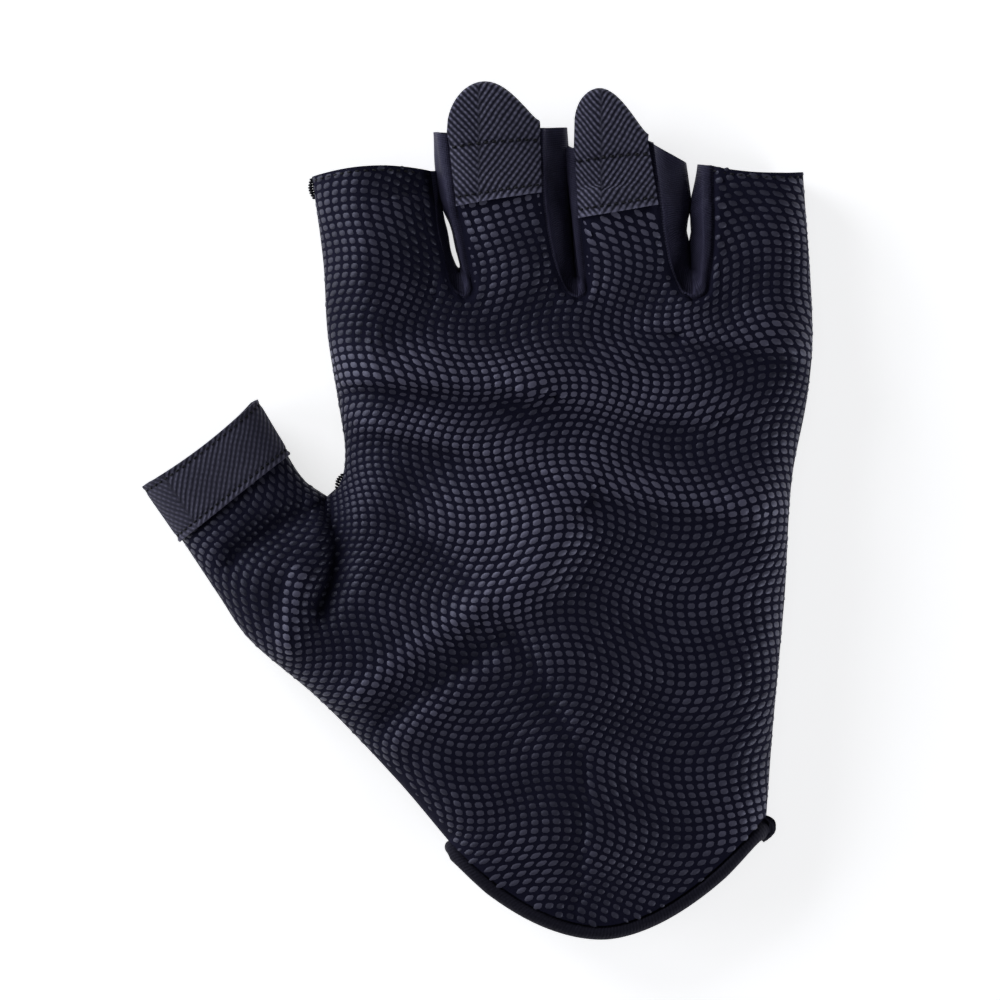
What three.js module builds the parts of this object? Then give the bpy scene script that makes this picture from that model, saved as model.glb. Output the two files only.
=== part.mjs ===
import * as THREE from 'three';

// A short-finger fitness glove for the left hand, laid palm up on a flat surface.
// Sizes are millimetres. X runs towards the little finger, Y towards the fingertips and Z up.
// The origin is in the middle of the glove's plan, on the surface that the glove lies on.

// Cloth thicknesses and the clear space between pieces that are sewn edge to edge
const PALM_CLOTH = 1.4;
const BACK_CLOTH = 1.2;
const SIDE_CLOTH = 1.0;
const TAPE_CLOTH = 0.9;
const BINDING_CLOTH = 2.2;
const SEAM_GAP = 0.3;
const SLIT_SEAM_GAP = 0.5;
const BINDING_GAP = 0.5;

// Tape and binding sizes
const THUMB_TAPE_WIDTH = 14.7;
const TAPE_END_INSET = 0.9;
const BINDING_WIDTH = 2.4;
const TAB_REAR_LENGTH = 4;

// The palm's finger slits all end on this line across the knuckles
const KNUCKLE_Y = 44.4;

// How far the side cloth reaches in under a finger, half the free width of a slit, and how far up from
// its web a slit takes to open to that width
const UNDER_REACH = 3.2;
const SLIT_HALF_WIDTH = 0.45;
const SLIT_OPENING_RISE = 1.5;

// A rounded edge spreads this many times its own half height into the glove
const EDGE_SPREAD = 1.15;

// Outer silhouettes in plan, each from its lowest point up: x, y
const THUMB_CROTCH = [-31.7, 2.9];
const INDEX_SIDE = [
  THUMB_CROTCH, [-29.7, 4.4], [-28.3, 7.6], [-27.9, 13.0], [-29.4, 23.1], [-31.6, 37.0], [-32.5, 52.0],
  [-34.9, 70.0],
];
const THUMB_INNER_SIDE = [THUMB_CROTCH, [-36.5, 6.3], [-41.8, 14.7], [-46.8, 23.1]];
const THUMB_OUTER_SIDE = [
  [-6.6, -69.0], [-17.0, -56.7], [-33.2, -39.9], [-47.9, -27.3], [-54.4, -18.0], [-62.2, -6.3], [-70.2, 5.2],
];
const LITTLE_SIDE = [
  [60.6, -64.0], [61.9, -46.0], [64.4, -18.0], [65.9, 6.3], [69.2, 24.0], [70.3, 38.0], [68.3, 71.0],
];

// Slits between the fingers: the line down the middle of each, from its web up, and the edges of
// the palm cloth on both sides of it, from the end of the slit up: x, y
const SLITS = [
  {
    name: 'index_middle',
    middle: [[-3.8, 50.2], [-5.2, 54.6], [-6.0, 58.8], [-8.0, 65.1], [-9.1, 72.5], [-9.2, 79.4]],
    left: [[-2.7, KNUCKLE_Y], [-5.2, 47.2], [-6.9, 52.5], [-8.4, 58.5], [-9.2, 65.5], [-9.9, 71.2]],
    right: [[-2.7, KNUCKLE_Y], [-1.5, 47.2], [-3.0, 56.7], [-4.8, 66.1], [-6.3, 78.9]],
  },
  {
    name: 'middle_ring',
    middle: [[20.6, 49.2], [20.2, 53.0], [19.4, 65.1], [19.0, 80.4]],
    left: [[21.0, KNUCKLE_Y], [18.4, 46.8], [15.6, 53.5], [13.6, 65.1], [13.2, 80.2]],
    right: [[21.0, KNUCKLE_Y], [22.7, 47.2], [22.1, 54.0], [21.3, 62.0], [20.5, 76.0]],
  },
  {
    name: 'ring_little',
    middle: [[44.7, 51.0], [44.3, 59.2], [44.8, 66.0], [45.1, 73.0]],
    left: [[45.0, KNUCKLE_Y], [42.6, 46.6], [39.9, 52.5], [37.8, 65.1], [36.3, 75.6]],
    right: [[45.0, KNUCKLE_Y], [47.6, 47.0], [49.0, 55.0], [49.1, 72.5]],
  },
];

// How far up each finger's hem lies: at the left and right edge of its palm cloth, with the bow between
// them, and on the finger's own left and right side, where the back cloth's hem starts and ends
const FINGERS = [
  { name: 'index', hemLeft: 70.0, hemRight: 71.2, bow: 1.6, sideLeft: 70.0, sideRight: 71.2 },
  { name: 'middle', hemLeft: 78.8, hemRight: 80.2, bow: 0.6, sideLeft: 79.4, sideRight: 80.4 },
  { name: 'ring', hemLeft: 75.8, hemRight: 77.2, bow: 0.5, sideLeft: 76.2, sideRight: 73.0 },
  { name: 'little', hemLeft: 72.2, hemRight: 71.0, bow: -0.7, sideLeft: 72.6, sideRight: 71.0 },
];

// The wrist: the lower ends of both side seams, and the convex edge of the palm cloth below them
const WRIST = { left: THUMB_OUTER_SIDE[0], right: LITTLE_SIDE[0], drop: 20.7, power: 1.8 };

// How high the filled-out glove stands at places on its plan
const FILL_REACH = 17;
const FILL = [
  { x: -22, y: 68, height: 15.5 },
  { x: 4, y: 76, height: 15 },
  { x: 32, y: 73, height: 15 },
  { x: 58, y: 68, height: 14.5 },
  { x: -18, y: 38, height: 18.5 },
  { x: 22, y: 38, height: 19 },
  { x: 58, y: 36, height: 17.5 },
  { x: -8, y: 12, height: 21.5 },
  { x: 36, y: 12, height: 21.5 },
  { x: 14, y: -16, height: 23 },
  { x: 50, y: -22, height: 20.5 },
  { x: 24, y: -50, height: 19.5 },
  { x: -14, y: -42, height: 19 },
  { x: 27, y: -70, height: 15.5 },
  { x: 27, y: -88, height: 11.5 },
  { x: -38, y: -12, height: 19 },
  { x: -58, y: 12, height: 16 },
];

// Folds of the palm cloth: the line of each in plan, its half width, and how far it rises or sinks.
// The first is the deep crease beside the thumb.
const FOLDS = [
  { line: [[-30.0, 1.5], [-28.6, -7.0], [-30.5, -16.0], [-33.6, -23.0]], width: 4.0, rise: -4.2 },
  { line: [[-26.5, 29.0], [8.0, 27.5]], width: 5.0, rise: 0.9 },
  { line: [[-24.8, 14.2], [4.0, 10.8], [55.0, -1.5]], width: 3.4, rise: -1.2 },
  { line: [[46.6, 36.0], [66.0, 31.5]], width: 3.4, rise: -1.2 },
  { line: [[3.5, -20.0], [18.0, -3.0]], width: 3.8, rise: 1.8 },
  { line: [[-24.0, -36.0], [0.0, -19.0]], width: 3.0, rise: 1.3 },
  { line: [[-15.0, -40.5], [5.0, -26.5]], width: 3.0, rise: -1.3 },
  { line: [[7.0, -27.0], [23.0, -56.0]], width: 3.4, rise: -1.1 },
];

// Pull tabs: the finger, how far up the tape's lower edge lies at both sides, where across the tape its
// loop is longest, how far that reaches past the hem, and how full the loop's outline is on both sides
const TABS = [
  { finger: 'middle', lowLeft: 64, lowRight: 66.6, peak: 0.36, reach: 10.1, fullLeft: 0.4, fullRight: 1.45 },
  { finger: 'ring', lowLeft: 61.3, lowRight: 64, peak: 0.26, reach: 12, fullLeft: 0.2, fullRight: 1.45 },
];
const TAB_SHORTEST = 2.2;
const TAB_DROOP = 0.012;
const TAB_SIDE_INSET = 0.4;
const TAB_REAR_GAP = 0.5;

const mix = (a, b, t) => a + (b - a) * t;
const mixPoints = (p, q, t) => [mix(p[0], q[0], t), mix(p[1], q[1], t)];

// Steps from 0 to 1 that lie closer together at both ends; at a crowding of 0 they are even
const CROWDING = 0.11;
const SLIGHT_CROWDING = 0.05;

function endSteps(count, crowding = CROWDING) {
  return Array.from({ length: count + 1 }, (_, i) => {
    const t = i / count;
    return t - crowding * Math.sin(2 * Math.PI * t);
  });
}

// Steps from 0 to 1 that lie closer together at the start; at a power of 1 they are even
const START_POWER = 1.4;
const SLIGHT_START_POWER = 1.15;

function startSteps(count, power = START_POWER) {
  return Array.from({ length: count + 1 }, (_, i) => (i / count) ** power);
}

// The point at height y on a smooth curve through the listed points
function pointAt(curve, y) {
  let i = 0;
  while (i < curve.length - 2 && y > curve[i + 1][1]) i += 1;
  const slope = (a, b) => (curve[b][0] - curve[a][0]) / (curve[b][1] - curve[a][1]);
  const last = curve.length - 1;
  const start = slope(Math.max(i - 1, 0), i + 1);
  const end = slope(i, Math.min(i + 2, last));
  const span = curve[i + 1][1] - curve[i][1];
  const t = (y - curve[i][1]) / span;
  const x = (2 * t ** 3 - 3 * t ** 2 + 1) * curve[i][0] + (t ** 3 - 2 * t ** 2 + t) * span * start
    + (3 * t ** 2 - 2 * t ** 3) * curve[i + 1][0] + (t ** 3 - t ** 2) * span * end;
  return [x, y];
}

// The point a share of the way up a curve, which ends at height top
const partWay = (curve, share, top = curve[curve.length - 1][1]) =>
  pointAt(curve, mix(curve[0][1], top, share));

// One side of a slit: its width opens quickly from nothing at the web
function slitSide(slit, side, share, top) {
  const [x, y] = partWay(slit.middle, share, top);
  const open = Math.min(1, Math.sqrt(Math.max(0, y - slit.middle[0][1]) / SLIT_OPENING_RISE));
  return [x + side * SLIT_HALF_WIDTH * open, y];
}

// The edge of the cloth under the fingers follows the slit at a set distance
function underSide(slit, side, share, top) {
  const web = slit.middle[0];
  const bottom = web[1] - UNDER_REACH;
  const y = mix(bottom, top, share);
  const x = pointAt(slit.middle, Math.max(y, web[1]))[0];
  const round = Math.min(1, Math.sqrt(Math.max(0, y - bottom) / UNDER_REACH));
  return [x + side * (UNDER_REACH + SLIT_HALF_WIDTH) * round, y];
}

const EDGE_SAMPLES = 60;
const sampled = (edge) => Array.from({ length: EDGE_SAMPLES + 1 }, (_, i) => edge(i / EDGE_SAMPLES));

// Straight on below a side seam, past the reach of the palm cloth and its binding
const belowSeam = (corner) => [[corner[0], corner[1] - WRIST.drop - 2 * BINDING_WIDTH], corner];

// All edges of the filled-out body, where the upper and the lower surface meet
const SILHOUETTES = [
  belowSeam(WRIST.left),
  belowSeam(WRIST.right),
  sampled((t) => partWay(INDEX_SIDE, t)),
  sampled((t) => partWay(THUMB_INNER_SIDE, t)),
  sampled((t) => partWay(THUMB_OUTER_SIDE, t)),
  sampled((t) => partWay(LITTLE_SIDE, t)),
  ...SLITS.flatMap((slit, i) => [
    sampled((t) => slitSide(slit, -1, t, FINGERS[i].sideRight)),
    sampled((t) => slitSide(slit, 1, t, FINGERS[i + 1].sideLeft)),
  ]),
];

function nearestOnSegment(p, a, b) {
  const [dx, dy] = [b[0] - a[0], b[1] - a[1]];
  const along = ((p[0] - a[0]) * dx + (p[1] - a[1]) * dy) / (dx * dx + dy * dy);
  return mixPoints(a, b, THREE.MathUtils.clamp(along, 0, 1));
}

// The nearest place on a line of several points: its distance, and the segment that it lies on
function nearestOnLine(p, line) {
  let best = { distance: Infinity };
  for (let i = 0; i < line.length - 1; i += 1) {
    const q = nearestOnSegment(p, line[i], line[i + 1]);
    const distance = Math.hypot(p[0] - q[0], p[1] - q[1]);
    if (distance < best.distance) best = { distance, point: q, from: line[i], to: line[i + 1] };
  }
  return best;
}

function nearestEdge(p) {
  const places = SILHOUETTES.map((line) => nearestOnLine(p, line));
  return places.reduce((best, place) => (place.distance < best.distance ? place : best));
}

// How high the body stands at a place if no edge is near
function fillHeight(p) {
  let total = 0;
  let weights = 0;
  for (const place of FILL) {
    const square = (p[0] - place.x) ** 2 + (p[1] - place.y) ** 2;
    const weight = Math.exp(-square / (2 * FILL_REACH ** 2));
    total += weight * place.height;
    weights += weight;
  }
  return total / weights;
}

function foldRise(p) {
  return FOLDS.reduce((sum, fold) => {
    const { distance } = nearestOnLine(p, fold.line);
    return sum + fold.rise * Math.exp(-((distance / fold.width) ** 2));
  }, 0);
}

// A point on the body's upper (face 1) or lower (face -1) surface, and the way out of the body there.
// On an edge, inward is the way into the body.
function surfaceAt(p, face, inward = null) {
  const half = fillHeight(p) / 2;
  const spread = half * EDGE_SPREAD;
  const near = nearestEdge(p);
  const distance = inward ? 0 : near.distance;
  const out = 1 - Math.min(distance / spread, 1);
  const up = Math.sqrt(1 - out * out);
  const way = inward ?? [(p[0] - near.point[0]) / distance, (p[1] - near.point[1]) / distance];
  const normal = new THREE.Vector3(-way[0] * out / spread, -way[1] * out / spread, face * up / half);
  const fold = face > 0 ? foldRise(p) * up : 0;
  const edgeGap = inward ? face * SEAM_GAP / 2 : 0;
  const point = new THREE.Vector3(p[0], p[1], half + face * half * up + fold + edgeGap);
  return { point, normal: normal.normalize() };
}

// The way into the body at an edge point, seen from a point inside
function inwardAt(p, inside) {
  const { from, to } = nearestEdge(p);
  const across = [from[1] - to[1], to[0] - from[0]];
  const length = Math.hypot(...across);
  const side = Math.sign(across[0] * (inside[0] - p[0]) + across[1] * (inside[1] - p[1]));
  return [side * across[0] / length, side * across[1] / length];
}

// A sheet of four-cornered patches in space, which is thickened into one closed body
class Sheet {
  constructor() {
    this.points = [];
    this.normals = [];
    this.triangles = [];
    this.known = new Map();
  }

  vertex({ point, normal }) {
    const key = [point.x, point.y, point.z].map((value) => value.toFixed(4)).join(' ');
    if (!this.known.has(key)) {
      this.known.set(key, this.points.length);
      this.points.push(point);
      this.normals.push(normal);
    }
    return this.known.get(key);
  }

  // Rows of places; seen from outside the body, columns run to the right and rows run up.
  // Each patch is split along its shorter diagonal.
  grid(rows) {
    const index = rows.map((row) => row.map((place) => this.vertex(place)));
    for (let j = 0; j < index.length - 1; j += 1) {
      for (let i = 0; i < index[j].length - 1; i += 1) {
        const [a, b, c, d] = [index[j][i], index[j][i + 1], index[j + 1][i + 1], index[j + 1][i]];
        const length = (from, to) => this.points[from].distanceTo(this.points[to]);
        const halves = length(a, c) <= length(b, d) ? [[a, b, c], [a, c, d]] : [[a, b, d], [b, c, d]];
        halves.forEach((corners) => this.triangle(...corners));
      }
    }
  }

  triangle(a, b, c) {
    if (a !== b && b !== c && c !== a) this.triangles.push([a, b, c]);
  }

  // Two skins, outer and inner, measured from the sheet along its normals, joined round the rim
  thickened(outer, inner) {
    const moved = (p, i, distance) => p.clone().addScaledVector(this.normals[i], distance);
    const skin = (distance) => this.points.map((p, i) => moved(p, i, distance));
    const count = this.points.length;
    const faces = this.triangles.flatMap(([a, b, c]) => [[a, b, c], [a + count, c + count, b + count]]);
    const edges = new Set(this.triangles.flatMap(([a, b, c]) => [`${a} ${b}`, `${b} ${c}`, `${c} ${a}`]));
    for (const edge of edges) {
      const [a, b] = edge.split(' ').map(Number);
      if (!edges.has(`${b} ${a}`)) {
        faces.push([a, a + count, b + count], [a, b + count, b]);
      }
    }
    return bodyGeometry([...skin(outer), ...skin(inner)], faces);
  }
}

function bodyGeometry(points, faces) {
  const geometry = new THREE.BufferGeometry();
  const coordinates = points.flatMap((p) => p.toArray());
  geometry.setAttribute('position', new THREE.Float32BufferAttribute(coordinates, 3));
  geometry.setIndex(faces.flat());
  geometry.computeVertexNormals();
  return geometry;
}

// Plan of a panel: the same patches make the palm cloth and the back cloth
const FINGER_COLUMNS = 6;
const FINGER_ROWS = 6;
const PALM_ROWS = 5;
const THUMB_ROWS = 12;
const heelRows = (face) => (face > 0 ? 16 : 8);

// The slit edge of one panel at a share of its length; side is -1 on the slit's left
function slitEdge(face, slit, side, share, top) {
  if (face < 0) return underSide(slit, side, share, top);
  return partWay(side < 0 ? slit.left : slit.right, share, top);
}

// Where a finger's hem ends at the left and the right edge of one panel
const hemHeights = (face, finger) =>
  (face > 0 ? [finger.hemLeft, finger.hemRight] : [finger.sideLeft, finger.sideRight]);

// Rows of plan points of one finger, from the knuckle line to its hem
function fingerPlan(face, number) {
  const finger = FINGERS[number];
  const leftSlit = SLITS[number - 1];
  const rightSlit = SLITS[number];
  const fromKnuckles = (curve, share, top) => pointAt(curve, mix(KNUCKLE_Y, top, share));
  const [topLeft, topRight] = hemHeights(face, finger);
  return startSteps(FINGER_ROWS).map((share) => {
    const left = leftSlit ? slitEdge(face, leftSlit, 1, share, topLeft)
      : fromKnuckles(INDEX_SIDE, share, topLeft);
    const right = rightSlit ? slitEdge(face, rightSlit, -1, share, topRight)
      : fromKnuckles(LITTLE_SIDE, share, topRight);
    return endSteps(FINGER_COLUMNS).map((across) => {
      const [x, y] = mixPoints(left, right, across);
      return [x, y + finger.bow * share ** 4 * 4 * across * (1 - across)];
    });
  });
}

function wristEdge(face, across) {
  const [x, y] = mixPoints(WRIST.left, WRIST.right, across);
  if (face < 0) return [x, y];
  return [x, y - WRIST.drop * (1 - Math.abs(2 * across - 1) ** WRIST.power)];
}

// All plan points along the knuckle line, and how far across the hand each one lies
function knuckleRow(face) {
  return FINGERS.flatMap((_, number) => fingerPlan(face, number)[0].slice(number ? 1 : 0));
}

function handShares(face) {
  const xs = knuckleRow(face).map((p) => p[0]);
  return xs.map((x) => (x - xs[0]) / (xs[xs.length - 1] - xs[0]));
}

// The thumb's root runs from the crotch to the wrist; the rows of the heel start along it
const ROOT_CROWDING = 0.08;
const rootSteps = (face) => endSteps(heelRows(face), ROOT_CROWDING);

// Rows of plan points of the hand, from the knuckles down to the wrist edge. The shape of the knuckle
// line fades out over the first rows, and that of the wrist edge comes in towards the last.
const KNUCKLE_FADE = 3;
const WRIST_FADE = 1.5;

function handPlan(face) {
  const knuckles = knuckleRow(face);
  const left = knuckles[0];
  const right = knuckles[knuckles.length - 1];
  const shares = handShares(face);
  const crotchShare = (left[1] - THUMB_CROTCH[1]) / (left[1] - WRIST.left[1]);
  const steps = [
    ...startSteps(PALM_ROWS, 1).map((t) => t * crotchShare),
    ...rootSteps(face).slice(1).map((t) => mix(crotchShare, 1, t)),
  ];
  return steps.map((t, row) => {
    const y = mix(left[1], WRIST.left[1], t);
    const heelShare = (t - crotchShare) / (1 - crotchShare);
    const leftEnd = row <= PALM_ROWS ? pointAt(INDEX_SIDE, y)
      : mixPoints(THUMB_CROTCH, WRIST.left, heelShare);
    const rightEnd = pointAt(LITTLE_SIDE, mix(right[1], WRIST.right[1], t));
    return shares.map((across, i) => {
      const [x, flat] = mixPoints(leftEnd, rightEnd, across);
      const bottom = wristEdge(face, across)[1] - mixPoints(WRIST.left, WRIST.right, across)[1];
      const top = knuckles[i][1] - mixPoints(left, right, across)[1];
      return [x, flat + bottom * t ** WRIST_FADE + top * (1 - t) ** KNUCKLE_FADE];
    });
  });
}

// Rows of plan points of the thumb, from its root to its hem; columns start at the crotch side
function thumbPlan(face) {
  return startSteps(THUMB_ROWS, SLIGHT_START_POWER).map((share) => {
    const inner = partWay(THUMB_INNER_SIDE, share);
    const outer = partWay(THUMB_OUTER_SIDE, share);
    return rootSteps(face).map((across) => mixPoints(inner, outer, across));
  });
}

// Puts a plan grid on the body's surface. The first or last column may be an edge of the body.
function laid(plan, face, firstIsEdge, lastIsEdge) {
  return plan.map((row, j) => row.map((p, i) => {
    if (i === 0 && firstIsEdge(j)) return surfaceAt(p, face, inwardAt(p, row[1]));
    if (i === row.length - 1 && lastIsEdge(j)) return surfaceAt(p, face, inwardAt(p, row[i - 1]));
    return surfaceAt(p, face);
  }));
}

const never = () => false;
const always = () => true;

function panel(face, cloth) {
  const sheet = new Sheet();
  const facing = (rows) => (face > 0 ? rows : rows.map((row) => [...row].reverse()));
  FINGERS.forEach((_, number) => {
    const first = number === 0 ? always : never;
    const last = number === FINGERS.length - 1 ? always : never;
    sheet.grid(facing(laid(fingerPlan(face, number), face, first, last)));
  });
  const rows = handPlan(face);
  const hand = laid(rows, face, (row) => row <= PALM_ROWS || row === rows.length - 1, always);
  sheet.grid(facing([...hand].reverse()));
  const thumb = laid(thumbPlan(face), face, always, always);
  thumb[0] = hand.slice(PALM_ROWS).map((row) => row[0]);
  sheet.grid(facing(thumb.map((row) => [...row].reverse())));
  return sheet.thickened(0, -cloth);
}

// Side cloth of one slit. Each row runs from the palm cloth over the finger's side to the back cloth.
const SIDE_UPPER_STEPS = [1, 0.7, 0.44, 0.22, 0.07];
const SIDE_LOWER_STEPS = [0.1, 0.3, 0.6, 1];

// The point beside a panel's slit edge, clear of it by the seam gap
function besideSeam(edge, side, share) {
  const here = edge(share);
  if (share === 0) return [here[0], here[1] + SLIT_SEAM_GAP];
  const [a, b] = [edge(share * 0.9), edge(Math.min(1, share * 1.1))];
  const length = Math.hypot(b[0] - a[0], b[1] - a[1]);
  const away = [-side * (b[1] - a[1]) / length, side * (b[0] - a[0]) / length];
  return [here[0] + away[0] * SLIT_SEAM_GAP, here[1] + away[1] * SLIT_SEAM_GAP];
}

function fourchette(number) {
  const slit = SLITS[number];
  const row = (side, share) => {
    const end = side < 0 ? 1 : 0;
    const top = (face) => hemHeights(face, FINGERS[number + 1 - end])[end];
    const edge = slitSide(slit, side, share, top(-1));
    const seam = (face) => besideSeam((t) => slitEdge(face, slit, side, t, top(face)), side, share);
    return [
      ...SIDE_UPPER_STEPS.map((step) => surfaceAt(mixPoints(edge, seam(1), step), 1)),
      edgePlace(edge, share === 0 ? [edge[0], edge[1] - 1] : [edge[0] + side, edge[1]]),
      ...SIDE_LOWER_STEPS.map((step) => surfaceAt(mixPoints(edge, seam(-1), step), -1)),
    ];
  };
  const steps = startSteps(FINGER_ROWS);
  const sheet = new Sheet();
  const down = [...steps].reverse().map((share) => row(-1, share));
  const up = steps.slice(1).map((share) => row(1, share));
  sheet.grid([...down, ...up].reverse());
  return sheet.thickened(0, -SIDE_CLOTH);
}

// A place on the edge of the body itself, half way between the upper and the lower surface
function edgePlace(p, inside) {
  const way = inwardAt(p, inside);
  return {
    point: new THREE.Vector3(p[0], p[1], fillHeight(p) / 2),
    normal: new THREE.Vector3(-way[0], -way[1], 0),
  };
}

// Tape across the thumb opening, on top of the palm cloth
const BAND_ROWS = 5;
const BAND_COLUMNS = 10;

function thumbBand() {
  const hem = [THUMB_INNER_SIDE.at(-1), THUMB_OUTER_SIDE.at(-1)];
  const length = Math.hypot(hem[0][0] - hem[1][0], hem[0][1] - hem[1][1]);
  const slope = (hem[0][0] - hem[1][0]) / length;
  const drop = THUMB_TAPE_WIDTH * slope;
  const rows = endSteps(BAND_ROWS, 0).map((share) => {
    const inner = pointAt(THUMB_INNER_SIDE, hem[0][1] - drop * (1 - share));
    const outer = pointAt(THUMB_OUTER_SIDE, hem[1][1] - drop * (1 - share));
    const width = Math.hypot(inner[0] - outer[0], inner[1] - outer[1]);
    return endSteps(BAND_COLUMNS).map((across) => {
      const held = mix(TAPE_END_INSET / width, 1 - TAPE_END_INSET / width, across);
      return surfaceAt(mixPoints(outer, inner, held), 1);
    });
  });
  const sheet = new Sheet();
  sheet.grid(rows);
  return sheet.thickened(SEAM_GAP + TAPE_CLOTH, SEAM_GAP);
}

// How far past the hem a pull tab's loop reaches, across the tape
function tabReach(tab, across) {
  const left = across < tab.peak;
  const away = left ? (tab.peak - across) / tab.peak : (across - tab.peak) / (1 - tab.peak);
  const power = left ? tab.fullLeft : tab.fullRight;
  return mix(TAB_SHORTEST, tab.reach, (1 - away ** 2) ** power);
}

// Tape across a fingertip that turns back in a free loop past the hem and ends inside the finger
const TAB_BAND_STEPS = 3;
const TAB_FREE_STEPS = 3;
const TAB_TURN_STEPS = 4;
const TAB_COLUMNS = 10;

function pullTab(tab) {
  const number = FINGERS.findIndex((finger) => finger.name === tab.finger);
  const finger = FINGERS[number];
  const above = SEAM_GAP + TAPE_CLOTH / 2;
  const below = PALM_CLOTH + TAB_REAR_GAP + TAPE_CLOTH / 2;
  const turnRadius = (above + below) / 2;
  const leftEdge = (y) => [pointAt(SLITS[number - 1].right, y)[0] + TAB_SIDE_INSET, y];
  const rightEdge = (y) => [pointAt(SLITS[number].left, y)[0] - TAB_SIDE_INSET, y];
  const column = (across) => {
    const hem = mixPoints(leftEdge(finger.hemLeft), rightEdge(finger.hemRight), across);
    hem[1] += finger.bow * 4 * across * (1 - across);
    const low = mixPoints(leftEdge(tab.lowLeft), rightEdge(tab.lowRight), across);
    const hemPlace = surfaceAt(hem, 1);
    const beyond = (past, offset) => {
      const point = hemPlace.point.clone().addScaledVector(hemPlace.normal, offset);
      return point.add(new THREE.Vector3(0, past, -TAB_DROOP * Math.max(past, 0) ** 2));
    };
    const reach = tabReach(tab, across) - turnRadius - TAPE_CLOTH / 2;
    const places = [];
    for (let i = 0; i < TAB_BAND_STEPS; i += 1) {
      const { point, normal } = surfaceAt(mixPoints(low, hem, i / TAB_BAND_STEPS), 1);
      places.push(point.addScaledVector(normal, above));
    }
    for (let i = 0; i < TAB_FREE_STEPS; i += 1) places.push(beyond(reach * i / TAB_FREE_STEPS, above));
    for (let i = 0; i <= TAB_TURN_STEPS; i += 1) {
      const turn = Math.PI * i / TAB_TURN_STEPS;
      const place = beyond(reach, (above - below) / 2 + turnRadius * Math.cos(turn));
      place.y += turnRadius * Math.sin(turn);
      places.push(place);
    }
    for (let i = TAB_FREE_STEPS - 1; i >= 0; i -= 1) places.push(beyond(reach * i / TAB_FREE_STEPS, -below));
    const rear = surfaceAt([hem[0], hem[1] - TAB_REAR_LENGTH], 1);
    places.push(rear.point.addScaledVector(rear.normal, -below));
    return places;
  };
  const columns = endSteps(TAB_COLUMNS, SLIGHT_CROWDING).map(column);
  const rows = columns[0].map((_, j) => columns.map((places) => places[j]));
  const sheet = new Sheet();
  sheet.grid(withNormals(rows));
  return sheet.thickened(TAPE_CLOTH / 2, -TAPE_CLOTH / 2);
}

// Adds the normals of a grid of points, from its neighbours in the row and in the column
function withNormals(rows) {
  const within = (i, list) => list[THREE.MathUtils.clamp(i, 0, list.length - 1)];
  const at = (j, i) => within(i, within(j, rows));
  return rows.map((row, j) => row.map((point, i) => {
    const along = at(j, i + 1).clone().sub(at(j, i - 1));
    const up = at(j + 1, i).clone().sub(at(j - 1, i));
    return { point, normal: along.cross(up).normalize() };
  }));
}

// Binding round the wrist opening: along the palm edge from left to right and back along the back edge.
// Its outer edge is rounded to this share of its thickness.
const BINDING_OUTER_SHARE = 0.6;

function wristBinding() {
  const nearby = 0.02;
  const inside = 0.05;
  const row = (face, across) => {
    const edge = wristEdge(face, across);
    const ahead = wristEdge(face, Math.min(across + nearby, 1));
    const behind = wristEdge(face, Math.max(across - nearby, 0));
    const corner = across === 0 || across === 1;
    const [dx, dy] = corner ? [1, 0] : [ahead[0] - behind[0], ahead[1] - behind[1]];
    const out = [dy / Math.hypot(dx, dy), -dx / Math.hypot(dx, dy)];
    const moved = (distance) => [
      THREE.MathUtils.clamp(edge[0] + out[0] * distance, WRIST.left[0] + inside, WRIST.right[0] - inside),
      edge[1] + out[1] * distance,
    ];
    const place = (p) => (corner ? edgePlace(p, [p[0] + (across ? -1 : 1), p[1]]) : surfaceAt(p, face));
    const [near, middle, far] = [0, 0.5, 1].map((t) => place(moved(BINDING_GAP + BINDING_WIDTH * t)));
    const half = BINDING_CLOTH / 2;
    const lifted = ({ point, normal }, offset) => point.clone().addScaledVector(normal, offset - half);
    return [
      lifted(near, half), lifted(middle, half), lifted(far, half * BINDING_OUTER_SHARE),
      lifted(far, -half * BINDING_OUTER_SHARE), lifted(middle, -half), lifted(near, -half),
    ];
  };
  const top = handShares(1).map((across) => row(1, across));
  const bottom = handShares(-1).slice(1, -1).reverse().map((across) => row(-1, across));
  const rings = [...top, ...bottom];
  const around = rings[0].length;
  const faces = rings.flatMap((_, j) => Array.from({ length: around }, (__, i) => {
    const next = (j + 1) % rings.length;
    const [a, b] = [j * around + i, j * around + (i + 1) % around];
    const [c, d] = [next * around + (i + 1) % around, next * around + i];
    return [[a, b, c], [a, c, d]];
  })).flat();
  return bodyGeometry(rings.flat(), faces);
}

// Materials
function cloth(color, roughness) {
  return new THREE.MeshStandardMaterial({ color, roughness, metalness: 0 });
}

function part(name, geometry, material) {
  const mesh = new THREE.Mesh(geometry, material);
  mesh.name = name;
  return mesh;
}

const glove = new THREE.Group();
glove.add(part('palm_panel', panel(1, PALM_CLOTH), cloth(0x1a1a26, 0.9)));
glove.add(part('back_panel', panel(-1, BACK_CLOTH), cloth(0x16161f, 0.85)));
SLITS.forEach((slit, number) => {
  glove.add(part(`fourchette_${slit.name}`, fourchette(number), cloth(0x191926, 0.7)));
});
TABS.forEach((tab) => glove.add(part(`pull_tab_${tab.finger}`, pullTab(tab), cloth(0x2a2a38, 0.75))));
glove.add(part('thumb_band', thumbBand(), cloth(0x2a2a38, 0.75)));
glove.add(part('wrist_binding', wristBinding(), cloth(0x191920, 0.8)));

export default glove;
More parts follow.
